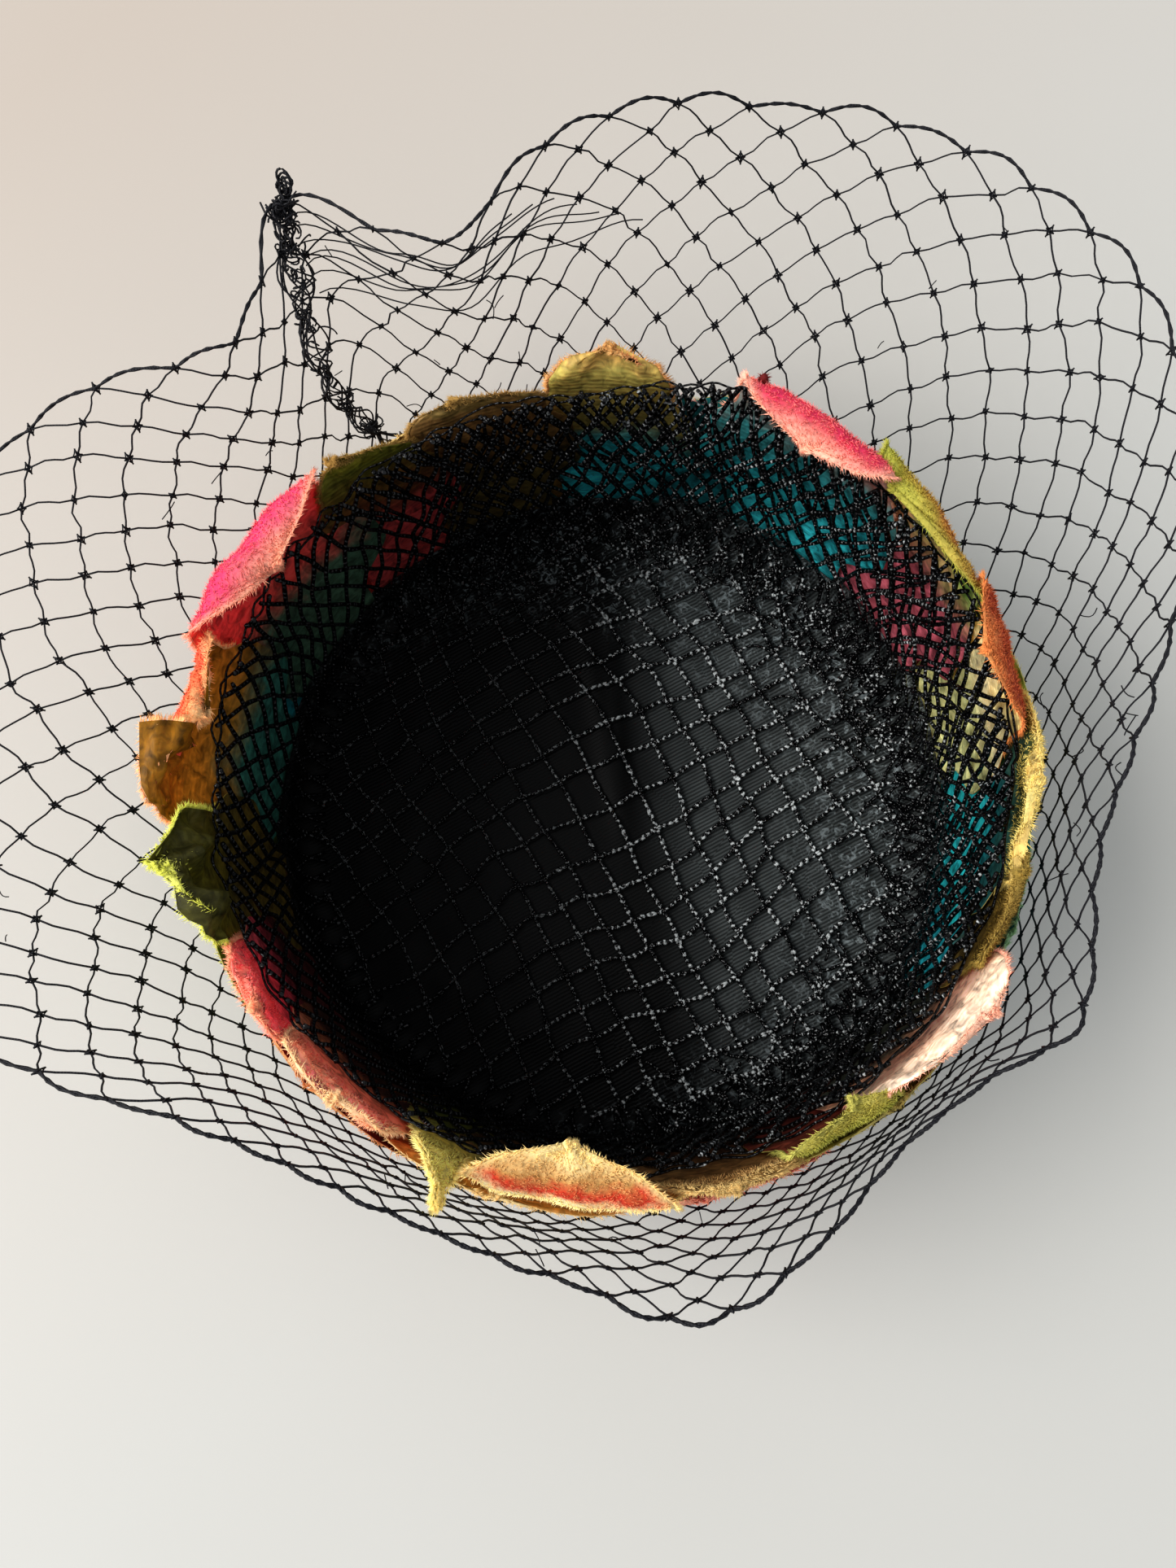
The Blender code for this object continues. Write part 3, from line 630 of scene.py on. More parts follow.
def outer_petal(number, seed):
    """Inner face of an outer petal as a grid: the radius is eased through its rows and each
    azimuth adds 0.055 mm a degree. The width is eased through its rows up to the shoulder
    and is sqrt(1 - t^2.3) of the span above it. The tip is lifted by rise x t^2, and a
    ripple lifts the free cloth a little."""
    heights, radii = zip(*OUTER_RADII)
    shoulder = OUTER_WIDTHS[-1][0]
    tucked = OUTER_FIRST + 360 * number / OUTER_COUNT
    middle = tucked + OUTER_SPAN / 2
    across = np.linspace(0, 1, OUTER_ACROSS + 1)[:, None]
    along = np.linspace(0, 1, OUTER_ALONG + 1)[None]
    height = heights[0] + along * (heights[-1] - heights[0])
    radius = eased_table(height, heights, radii)
    upper = np.clip((height - shoulder) / (heights[-1] - shoulder), 0, 1)
    lower = eased_table(height, *zip(*OUTER_WIDTHS))
    share = np.where(height > shoulder, np.sqrt(np.clip(1 - upper ** 2.3, 0.012, 1)), lower)
    rise = OUTER_TIP_RISE[number] * along ** 2
    azimuth = middle + share * OUTER_SPAN / 2 * (2 * across - 1)
    points = polar(radius + OUTER_SLOPE * (azimuth - tucked), azimuth, height + rise)
    free = eased(height, 30, 58)
    lift = 0.35 * (1 + ripple(across * 60, height, 14.0, seed)) * free
    return points + normals(points) * lift[..., None]


def veil_sizes(azimuth):
    """Sizes of the veil's section, by cubic pieces through the rows of its table whose
    slopes at a row are those of the line between the rows on its two sides."""
    rows = np.array(VEIL_SECTIONS, float)
    before, after = rows[-2:].copy(), rows[:3].copy()
    before[:, 0] -= 360
    after[:, 0] += 360
    rows = np.concatenate([before, rows, after])
    azimuth = np.asarray(azimuth, float) % 360
    k = np.searchsorted(rows[:, 0], azimuth, side="right") - 1
    first, low, high, last = rows[k - 1], rows[k], rows[k + 1], rows[k + 2]
    span = high[..., :1] - low[..., :1]
    t = (azimuth[..., None] - low[..., :1]) / span
    slope_low = (high - first) / (high[..., :1] - first[..., :1]) * span
    slope_high = (last - low) / (last[..., :1] - low[..., :1]) * span
    rise = high - low
    sizes = (low + t * slope_low + t * t * (3 * rise - 2 * slope_low - slope_high)
             + t * t * t * (slope_low + slope_high - 2 * rise))
    return np.moveaxis(sizes[..., 1:], -1, 0)


def veil_section(azimuth, up):
    """Radius and height on the veil: a cubic Bezier from the foot to the edge."""
    low_r, low_z, high_r, high_z, edge_r, edge_z = veil_sizes(azimuth)
    down = 1 - up
    foot, low, high, edge = down ** 3, 3 * up * down ** 2, 3 * up ** 2 * down, up ** 3
    return (foot * VEIL_FOOT_R + low * low_r + high * high_r + edge * edge_r,
            foot * VEIL_FOOT_Z + low * low_z + high * high_z + edge * edge_z)


def veil_rows(azimuth, share):
    """Bezier parameter at a share of the veil's rows, for azimuths and shares of one shape.

    A mesh of side 9.5 mm that is spread p wide is sqrt(9.5^2 - (p/2)^2) half high, so the
    rows lie closer where the veil is wide. The share of the rows below each of 64 steps is
    summed, and the parameter is read back from those sums.
    """
    least = 4.5         # half a mesh's height stays above this
    up = np.linspace(0, 1, FINE + 1)
    radius, height = veil_section(azimuth[..., None], up)
    pitch = 2 * np.pi * radius / VEIL_COLUMNS
    half_high = np.sqrt(np.maximum(VEIL_MESH ** 2 - (pitch / 2) ** 2, least ** 2))
    step = np.hypot(np.diff(radius), np.diff(height)) * 2 / (half_high[..., 1:] + half_high[..., :-1])
    total = np.concatenate([np.zeros(step.shape[:-1] + (1,)), np.cumsum(step, axis=-1)], axis=-1)
    total = total / total[..., -1:]
    low, high = total[..., :-1], total[..., 1:]
    return np.clip((share[..., None] - low) / (high - low), 0, 1).sum(-1) / FINE


def veil_points(azimuth, share):
    """Points of the veil at azimuths and shares of its rows."""
    radius, height = veil_section(azimuth, veil_rows(azimuth, share))
    return polar(radius, azimuth, height)


def veil_normal(azimuth, share):
    """Directions out of the veil at azimuths and shares of its rows."""
    d = 0.01
    right = veil_points(azimuth + d * 60, share) - veil_points(azimuth - d * 60, share)
    low = np.clip(share - d, 0, 1)
    high = np.clip(share + d, 0, 1)
    return unit(np.cross(right, veil_points(azimuth, high) - veil_points(azimuth, low)))


def veil_net(sizes, rng):
    """The veil's diamond net: two threads rise from each knot to the next row, bowed and
    bent like an S along the surface, and a knot of four short strands with a cross."""
    column, row = np.meshgrid(np.arange(VEIL_COLUMNS), np.arange(VEIL_ROWS + 1), indexing="ij")
    knot_azimuth = 360 * (column + 0.5 * (row % 2)) / VEIL_COLUMNS
    inside = (row > 0) & (row < VEIL_ROWS)
    knot_azimuth = knot_azimuth + inside * rng.normal(0, 0.28, row.shape)
    knot_share = row / VEIL_ROWS + inside * rng.normal(0, 0.0045, row.shape)
    i, j = column[:, :-1].ravel(), row[:, :-1].ravel()
    t = np.linspace(0, 1, 5)
    threads = []
    for step in (0, 1):
        target = (i + step - 1 + j % 2) % VEIL_COLUMNS
        a0, s0 = knot_azimuth[i, j], knot_share[i, j]
        a1, s1 = knot_azimuth[target, j + 1], knot_share[target, j + 1]
        a1 = a0 + (a1 - a0 + 180) % 360 - 180
        azimuth = a0[:, None] + (a1 - a0)[:, None] * t
        share = s0[:, None] + (s1 - s0)[:, None] * t
        bow = rng.normal(0, 0.17, (len(i), 1)) * np.sin(np.pi * t)
        bend = (0.17 if step else -0.17) * np.sin(2 * np.pi * t) * (1 + rng.normal(0, 0.4, (len(i), 1)))
        paths = veil_points(azimuth + bend + bow, share)
        lift = rng.normal(0, 0.22, (len(i), 1)) * np.sin(np.pi * t)
        threads.append(paths + veil_normal(azimuth, share) * lift[..., None])
    radius = sizes.veil_thread / MM / 2
    net = tubes(np.concatenate(threads), radius, 4)
    a, s = knot_azimuth.ravel(), knot_share.ravel()
    centre = veil_points(a, s)
    out = veil_normal(a, s)
    right = unit(np.cross([0.0, 0.0, 1.0], out))
    up = np.cross(out, right)
    wide = sizes.veil_knot / MM / 2 * rng.uniform(0.7, 1.1, len(a))[:, None]
    spin = rng.normal(0, 0.25, len(a))[:, None]
    ax = wide * 0.8 * (right * np.cos(spin) + up * np.sin(spin))
    ay = wide * 1.1 * (up * np.cos(spin) - right * np.sin(spin))
    corners = [centre + ax, centre + ay, centre - ax, centre - ay]
    strands = [np.stack([corners[k], (corners[k] + corners[(k + 1) % 4]) / 2 * 0.86 + centre * 0.14,
                         corners[(k + 1) % 4]], axis=1) for k in range(4)]
    cross = [np.stack([corners[k] * 1.25 - centre * 0.25, centre + out * 0.25 * (1 - 2 * k),
                       corners[k + 2] * 1.25 - centre * 0.25], axis=1) for k in range(2)]
    ties = tubes(np.concatenate(strands), radius * 0.8, 3)
    bars = tubes(np.concatenate(cross), radius * 1.05, 3)
    return joined([net, ties, bars])


def veil_edge(sizes, rng):
    """Two strands twisted round the veil's scalloped edge: between neighbouring edge knots
    the line bows out along the section by b sin(pi t), and each strand circles it. A plain
    closed tube is the cord at the veil's foot."""
    per = 9
    turns = 2.5
    step = np.arange(VEIL_COLUMNS * per)
    t = step % per / per
    azimuth = 360 * step / per / VEIL_COLUMNS
    bow = np.repeat(rng.uniform(1.2, 2.8, VEIL_COLUMNS), per) * np.sin(np.pi * t)
    top = veil_points(azimuth, np.ones_like(azimuth))
    below = veil_points(azimuth, np.full_like(azimuth, 0.96))
    slope = unit(top - below)
    line = top + slope * bow[:, None]
    out = veil_normal(azimuth, np.full_like(azimuth, 0.99))
    angle = 2 * np.pi * turns * step / per
    radius = sizes.veil_edge / MM / 2
    strands = []
    for phase in (0.0, np.pi):
        offset = slope * np.cos(angle + phase)[:, None] + out * np.sin(angle + phase)[:, None]
        strands.append(closed_tube(line + offset * radius * 0.75, radius, 4))
    foot = np.linspace(0, 360, 180, endpoint=False)
    strands.append(closed_tube(polar(VEIL_FOOT_R + 0.15, foot, VEIL_FOOT_Z), 0.45, 5))
    return joined(strands)


def veil_strays(sizes, rng):
    """Short broken ends of thread that stand off the veil in loose curls, and the near
    parallel threads of a fold that runs from the seam. An end is root + heading t + side
    sin(bt), and a fold's thread falls evenly over azimuths and rows with a slow wave."""
    azimuth = rng.uniform(0, 360, VEIL_STRAYS)
    share = rng.uniform(0.3, 1, VEIL_STRAYS)
    t = np.linspace(0, 1, 6)[:, None]
    heading = unit(veil_normal(azimuth, share) * 0.5 + rng.normal(0, 1, (VEIL_STRAYS, 3)))
    side = unit(np.cross(heading, rng.normal(0, 1, (VEIL_STRAYS, 3))))
    length = rng.uniform(2, 5.5, (VEIL_STRAYS, 1, 1))
    bend = rng.uniform(1, 4, (VEIL_STRAYS, 1, 1))
    paths = (veil_points(azimuth, share)[:, None] + heading[:, None] * t * length
             + side[:, None] * np.sin(t * bend) * length * 0.3)
    ends = tubes(paths, sizes.veil_thread / MM * 0.32, 3)
    t = np.linspace(0, 1, 34)[None]
    k = np.arange(FOLD_THREADS)[:, None]
    azimuth = SEAM_AZIMUTH + 0.8 - (21 + 2.2 * k) * t
    wave = 0.012 * np.sin(17 * t + 1.7 * k) + 0.02 * np.sin(np.pi * t) * (k % 3)
    share = 0.95 - 0.034 * k - 0.08 * t + wave
    fold = veil_points(azimuth, share) + veil_normal(azimuth, share) * 0.8
    return joined([ends, tubes(fold, sizes.veil_thread / MM * 0.42, 4)])


def seam_line(share):
    """The seam's line up the veil at shares s of it: its azimuth bows out from the seam's by
    4.6 sin(pi s^0.9) degrees."""
    azimuth = SEAM_AZIMUTH + 4.6 * np.sin(np.pi * share ** 0.9)
    radius, height = veil_section(azimuth, 0.32 + 0.68 * share)
    return polar(radius, azimuth, height)


def seam_axes(share):
    """Unit vectors along the seam, across it and out of the veil."""
    ahead = unit(seam_line(np.clip(share + 0.02, 0, 1)) - seam_line(np.clip(share - 0.02, 0, 1)))
    side = unit(np.cross(ahead, [0.0, 0.0, 1.0]))
    return ahead, side, np.cross(side, ahead)


def arcs(start, heading, aside, bend, steps):
    """Curls of thread: start + (heading sin(sb) + aside (1 - cos(sb))) / b at steps s, for a
    bend of b radians. The length of heading and of aside is the curl's size."""
    turn = steps[None, :, None] * bend[..., None]
    return (start[:, None] + heading[:, None] * np.sin(turn) / bend[..., None]
            + aside[:, None] * (1 - np.cos(turn)) / bend[..., None])


def seam_strands(sizes, rng):
    """The veil's bunched seam: long loose strands that wander up it, curls tangled at its
    knots, and loops at its tip. A strand's centre is the seam's line plus a slow helix
    whose radius swells and narrows between the knots."""
    thread = sizes.veil_thread / MM
    standing_off = 2.0
    t = np.linspace(0, 1, 60)
    share = np.broadcast_to(t, (SEAM_STRANDS, 60))
    ahead, side, out = seam_axes(share)
    phase = rng.uniform(0, 2 * np.pi, (SEAM_STRANDS, 1))
    wind = rng.uniform(1.5, 5.5, (SEAM_STRANDS, 1))
    swell = 0.8 + 2.3 * np.abs(np.sin(5.5 * np.pi * t)) * (0.5 + 0.9 * t)
    girth = rng.uniform(0.5, 1.0, (SEAM_STRANDS, 1)) * swell
    angle = phase + wind * 2 * np.pi * t + 0.5 * np.sin(31 * t + phase)
    helix = side * np.cos(angle)[..., None] * 1.25 + out * np.sin(angle)[..., None]
    winding = seam_line(share) + out * standing_off + helix * girth[..., None]
    one = (SEAM_CURLS, 1)
    three = (SEAM_CURLS, 3)
    where = rng.choice(SEAM_KNOTS, SEAM_CURLS) + rng.normal(0, 0.025, SEAM_CURLS)
    where = np.clip(where, 0, 1)
    ahead, side, out = seam_axes(where)
    start = seam_line(where) + out * (standing_off + rng.normal(0, 0.7, one)) + side * rng.normal(0, 1.0, one)
    heading = ahead * rng.normal(0, 1, one) + side * rng.normal(0, 1, one) + out * rng.normal(0.2, 0.6, one)
    curl = unit(np.cross(heading, rng.normal(0, 1, three)))
    size = rng.uniform(1.6, 4.6, one)
    bend = rng.uniform(1.5, 6.5, one)
    tangle = arcs(start, unit(heading) * size * 1.6, curl * size * 1.4, bend, np.linspace(0, 1, 8))
    tip = np.array([1.0])
    ahead, side, out = seam_axes(tip)
    turn = np.linspace(0, 2 * np.pi, 15)[None, :-1, None]
    lift = rng.uniform(0.5, 2.6, (SEAM_LOOPS, 1, 1))
    size = rng.uniform(1.0, 2.2, (SEAM_LOOPS, 1, 1))
    lean = rng.normal(0, 0.4, (SEAM_LOOPS, 1, 3))
    loops = (seam_line(tip)[0] + ahead * (lift + size * (1 + np.cos(turn)))
             + (side + lean) * size * 0.8 * np.sin(turn))
    loops = np.concatenate([loops, loops[:, :1] + 0.05], axis=1)
    return joined([tubes(winding, thread * 0.5, 4), tubes(tangle, thread * 0.5, 4),
                   tubes(loops, thread * 0.6, 4)])


def spill(azimuth):
    """How far the lining's top spills out over the petals, from 0 to 1: a bell at the back
    right at azimuth 70, and a low, wide one at 20."""
    return (np.exp(-((azimuth % 360 - 70) / 13.0) ** 2)
            + 0.3 * np.exp(-((azimuth - 20) / 30.0) ** 2))


def lining_wall(azimuth, up):
    """Points of the net lining's wall: up from 0 at the crown's edge to 1 at the rim. The
    first eighth climbs the rounded edge of the crown by a sine, the rest is upright, and
    the spill moves its top."""
    corner = 0.13
    foot_z = 3.0
    corner_z = 11.0
    low = np.clip(up / corner, 0, 1) * np.pi / 2
    out = spill(azimuth) * eased(up, 0.86, 1.0)
    radius = 75.5 + 5.6 * np.sin(low) ** 0.8 + SPILL_R * out
    upright = corner_z + (up - corner) / (1 - corner) * (RIM_Z + 0.8 - corner_z)
    rounded = foot_z + (corner_z - foot_z) * (1 - np.cos(low))
    return polar(radius, azimuth, np.where(up < corner, rounded, upright) + SPILL_Z * out)


def wall_net(sizes, families, span, inset, share, seed, low):
    """One layer of the net over the lining's wall: two families of cords that wind up it in
    opposite ways, at azimuth start + turn (up - 1/2). Slow ripples move both families
    alike, so that the meshes stretch together. A layer may start at a share of the height.
    The cords swell and thin along their way and are a little thinner at the back right."""
    rng = np.random.default_rng(seed)
    strand = sizes.lining_cord / MM * share
    first, last = span
    up = np.linspace(low, 1, 27)[None]
    shapes = []
    for family, (lines, drift) in enumerate(families):
        start = first + (np.arange(lines)[:, None] + 0.5) * (last - first) / lines
        azimuth = start + drift * (up - 0.5) + rng.normal(0, 0.15, (lines, 1))
        pull = 1.3 * ripple(azimuth, up * 45, 36.0, seed + 1) + 0.3 * ripple(azimuth, up * 45, 13.0, seed + 2)
        own = 0.15 * ripple(up * 45, start * 7.0, 14.0, seed + 3 + family)
        azimuth = azimuth + pull + own
        points = lining_wall(azimuth, np.broadcast_to(up, azimuth.shape))
        inward = -unit(points * np.array([1.0, 1.0, 0.0]))
        gather = inset + 0.5 * family + 0.4 * (1 + ripple(azimuth, up * 45, 12.0, seed + 5))
        away = np.abs((azimuth - 40 + 180) % 360 - 180)
        girth = strand * (0.94 + 0.06 * eased(away, 70, 110))
        girth = girth * (1 + 0.12 * ripple(azimuth, up * 45, 6.0, seed + 6))
        shapes.append(tubes(points + inward * gather[..., None], girth / 2, 5, uv_offset=0.21 * family))
    return joined(shapes)


def crown_height(x, y, fold):
    """Height of the crown cloth inside the hat: its own thickness plus soft folds. Each
    fold is a bell across a slanted line and is eased in and out along it, and a low ripple
    puckers the cloth towards the edge."""
    r = np.hypot(x, y)
    inside = 1 - eased(r, 60, 76)
    folds = 0.0
    for centre, slant, wide, back, front, share in CROWN_FOLDS:
        line = centre + slant * (60 - y)
        run = eased(y, front, front + 30) * (1 - eased(y, back - 4, back + 6))
        folds = folds + share * np.exp(-((x - line) / wide) ** 2) * run
    pucker = 0.30 * (1 + ripple(x, y, 17.0, 61)) * eased(r, 18, 70)
    return CROWN_CLOTH + fold * np.clip(folds, 0, 1.2) * inside + pucker * inside


def crown_cloth(sizes):
    """The crown: a dish turned round the axis, of concentric rings from under it, up its
    edge, out and back over a narrow flange and across its inside. The rounded edge is a
    quarter ellipse, and the inside has the folds of crown_height."""
    azimuth = np.linspace(0, 360, CROWN_AROUND, endpoint=False)
    fold = sizes.fold_height / MM
    quarter = np.linspace(0, np.pi / 2, 9)[1:]
    edge_w = CROWN_OUTER_R - CROWN_FLAT_R
    inner_w = edge_w - CROWN_CLOTH
    inner_h = CROWN_EDGE_Z - CROWN_CLOTH
    under = [(r, 0.0) for r in np.linspace(4, CROWN_FLAT_R, 8)]
    edge = [(CROWN_FLAT_R + edge_w * np.sin(q), CROWN_EDGE_Z * (1 - np.cos(q))) for q in quarter]
    flange = [(CROWN_OUTER_R + 0.3, 9.6), (86.2, 10.0), (86.8, 10.3), (86.2, CROWN_CLOTH_TOP),
              (CROWN_OUTER_R - 0.35, CROWN_CLOTH_TOP + 0.1), (CROWN_OUTER_R - 1.15, CROWN_CLOTH_TOP),
              (CROWN_OUTER_R - CROWN_CLOTH, 9.8)]
    within = [(CROWN_FLAT_R + inner_w * np.sin(q), CROWN_CLOTH + inner_h * (1 - np.cos(q)))
              for q in quarter[::-1]]
    profile = np.array(under + edge + flange + within)
    shell = polar(profile[:, :1], azimuth[None], profile[:, 1:])
    radii = np.linspace(CROWN_FLAT_R, 1.5, 56)
    floor = polar(radii[:, None], azimuth[None], np.zeros((1, 1)))
    floor[..., 2] = crown_height(floor[..., 0], floor[..., 1], fold)
    rings = np.concatenate([shell, floor])
    low_middle = len(rings) * CROWN_AROUND
    top_middle = low_middle + 1
    index = np.arange(low_middle).reshape(len(rings), CROWN_AROUND)
    around = np.roll(index, -1, axis=1)
    walls = np.stack([index[:-1], around[:-1], around[1:], index[1:]], -1).reshape(-1, 4)
    low_fan = np.stack([np.full(CROWN_AROUND, low_middle), around[0], index[0]], -1)
    top_fan = np.stack([np.full(CROWN_AROUND, top_middle), index[-1], around[-1]], -1)
    top = [0.0, 0.0, float(crown_height(np.zeros(1), np.zeros(1), fold)[0])]
    points = np.concatenate([rings.reshape(-1, 3), [[0.0, 0.0, 0.0]], [top]])
    return Shape(points, [(walls, 0), (low_fan, 0), (top_fan, 0)], points[:, :2])


def crown_net(sizes, rng):
    """The lining drawn over the crown: two families of cords a mesh apart that cross at a
    right angle. A cord is a straight line whose points are moved by slow ripples, so that
    the meshes bend, and it lies a little above the crown cloth. Its two strands circle it
    once in 7 mm and are thicker towards the right."""
    side = sizes.crown_mesh / MM
    cord = sizes.lining_cord / MM * 1.45
    reach = 77.0
    pitch = 7.0
    shapes = []
    for family, angle in enumerate((-60.0, 30.0)):
        heading = np.array([np.cos(np.radians(angle)), np.sin(np.radians(angle))])
        aside = np.array([-heading[1], heading[0]])
        for number in np.arange(-CROWN_CORDS, CROWN_CORDS + 1):
            offset = number * side + 1.7 * family + rng.normal(0, 0.5)
            half = np.sqrt(max((reach + 4) ** 2 - offset ** 2, 0.0))
            t = np.linspace(-half, half, 60)
            flat = heading * t[:, None] + aside * offset
            x, y = flat.T
            x, y = (x + 3.4 * ripple(x, y, 85.0, 21) + 0.6 * ripple(x, y, 19.0, 23),
                    y + 3.4 * ripple(x, y, 85.0, 22) + 0.6 * ripple(x, y, 19.0, 24))
            r = np.hypot(x, y)
            keep = r < reach
            if keep.sum() < 4:
                continue
            z = crown_height(x, y, sizes.fold_height / MM) + cord * 0.5 + 0.15
            z = z + 0.35 * family + 0.25 * np.abs(ripple(x, y, 12.0, 25)) + 2.0 * eased(r, 72, 79)
            path = np.stack([x, y, z], -1)[keep]
            girth = cord * (0.2 + 0.11 * eased(x[keep], -50, 20))
            for phase in (0.0, np.pi):
                twist = t[keep] * 2 * np.pi / pitch + phase
                circle = np.stack([aside[0] * np.cos(twist), aside[1] * np.cos(twist),
                                   np.sin(twist) * 0.6], -1)
                strand = path + circle * cord * 0.28
                shapes.append(tubes(strand[None], girth[None], 5, uv_offset=number * 1.7 + family))
    return joined(shapes)


def gathers(sizes, rng):
    """The lining gathered at the crown's edge, at the back and the right: fans of cord that
    run in from the wall and cross, at radius 79.6 - depth u and an azimuth that drifts
    with u, and crushed curls of cord between them, kept inside the wall and above the
    crown cloth."""
    cord = sizes.lining_cord / MM
    fans = (GATHER_FANS, 1)
    u = np.linspace(0, 1, 16)[None]
    start = np.linspace(-78, 126, GATHER_FANS)[:, None] + rng.normal(0, 0.6, fans)
    drift = np.where(np.arange(GATHER_FANS)[:, None] % 2 == 0, 15.0, -17.0) * rng.uniform(0.85, 1.15, fans)
    depth = rng.uniform(5, 17, fans)
    r = 79.6 - depth * u
    azimuth = start + drift * u * depth / 18 + 0.8 * ripple(start, u * 30, 9.0, 63)
    height = 2.4 + rng.uniform(0, 0.6, fans) + 7.5 * eased(r, 73, 80)
    height = height + 0.4 * ripple(start * 3, u * 30, 7.0, 64)
    fan = tubes(polar(r, azimuth, height), cord * 0.48, 4)
    azimuth = rng.normal(32, 40, GATHER_CURLS)
    r = 76.5 - np.abs(rng.normal(0, 7.5, GATHER_CURLS))
    height = 2.6 + np.abs(rng.normal(0, 0.5, GATHER_CURLS)) + 6.0 * eased(r, 73, 79)
    turn = azimuth + rng.choice([-55.0, 35.0, 90.0, 0.0], GATHER_CURLS) + rng.normal(0, 16, GATHER_CURLS)
    turn = np.radians(turn)
    heading = np.stack([np.cos(turn), np.sin(turn), rng.normal(0.0, 0.05, GATHER_CURLS)], -1)
    curl = unit(np.cross(heading, [0.0, 0.0, 1.0]) + rng.normal(0, 0.12, (GATHER_CURLS, 3)))
    size = rng.uniform(5, 14, (GATHER_CURLS, 1))
    bend = rng.uniform(0.5, 2.6, (GATHER_CURLS, 1))
    paths = arcs(polar(r, azimuth, height), heading * size, curl * size, bend, np.linspace(-0.5, 0.5, 9))
    flat_r = np.linalg.norm(paths[..., :2], axis=-1)
    paths[..., :2] *= (np.minimum(flat_r, 80.2) / flat_r)[..., None]
    floor = crown_height(paths[..., 0], paths[..., 1], sizes.fold_height / MM) + 0.5
    paths[..., 2] = np.maximum(paths[..., 2], floor)
    return joined([fan, tubes(paths, cord * 0.42, 4)])


def rim_binding(sizes):
    """The net's rolled rim: strands that wind round the top of the lining, at radius
    81 + 0.5 cos t + 0.5 w and height 69.8 + 0.6 sin t + 1.1 w for a helix's angle t and a
    slow ripple w, and moved by the lining's spill."""
    shapes = []
    azimuth = np.linspace(0, 360, 360, endpoint=False)
    out = spill(azimuth)
    for number in range(BINDING_STRANDS):
        turn = np.radians(azimuth) * (17 + 4 * number) + number * 1.3
        slow = ripple(azimuth, azimuth * 0 + number * 9.0, 8.0, 70 + number)
        slow = slow * np.sin(np.radians(azimuth) / 2) ** 0.5
        radius = 81.0 + 0.5 * np.cos(turn) + 0.5 * slow + SPILL_R * out
        height = RIM_Z - 0.2 + 0.6 * np.sin(turn) + 1.1 * slow + SPILL_Z * out
        shapes.append(closed_tube(polar(radius, azimuth, height), sizes.lining_cord / MM * 0.3, 4))
    return joined(shapes)


# Materials. Their docstrings give the sizes that the nodes draw. Lengths in the nodes
# themselves are metres.

def every(millimetres):
    """Scale of a noise or cell texture whose grains are this wide."""
    return 1 / (millimetres * MM)


def bands(millimetres):
    """Scale of a wave texture whose bands are this far apart: it has 20 / (2 pi) bands in
    each unit."""
    return 2 * np.pi / 20 / (millimetres * MM)


def set_inputs(tree, node, inputs):
    """Give a node's sockets their values, or links from sockets or nodes' first outputs."""
    for name, value in inputs.items():
        if isinstance(value, bpy.types.Node):
            value = value.outputs[0]
        if isinstance(value, bpy.types.NodeSocket):
            tree.links.new(value, node.inputs[name])
        else:
            node.inputs[name].default_value = value


def add_node(tree, kind, inputs, stops=(), **settings):
    """Add a node: inputs are its sockets' values or links, settings are its own values, and
    stops are a ramp's positions and hex colours."""
    node = tree.nodes.new(f"ShaderNode{kind}")
    for name, value in settings.items():
        setattr(node, name, value)
    set_inputs(tree, node, inputs)
    if stops:
        elements = node.color_ramp.elements
        while len(elements) < len(stops):
            elements.new(0.5)
        for element, (position, colour) in zip(elements, stops):
            element.position = position
            element.color = linear(colour)
    return node


def new_material(name):
    """A material, its node tree, its shader, and the sockets with a point's place on the
    object and its UV."""
    material = bpy.data.materials.new(name)
    material.use_nodes = True
    tree = material.node_tree
    place = add_node(tree, 'TexCoord', {})
    shader = tree.nodes["Principled BSDF"]
    return material, tree, shader, place.outputs["Object"], place.outputs["UV"]


def let_light_through(tree, shader, colour, share):
    """Mix a shader with a translucent one, so that light from behind glows in the cloth."""
    glow = add_node(tree, 'BsdfTranslucent', {"Color": colour})
    mix = add_node(tree, 'MixShader', {0: share, 1: shader, 2: glow})
    set_inputs(tree, tree.nodes["Material Output"], {"Surface": mix})


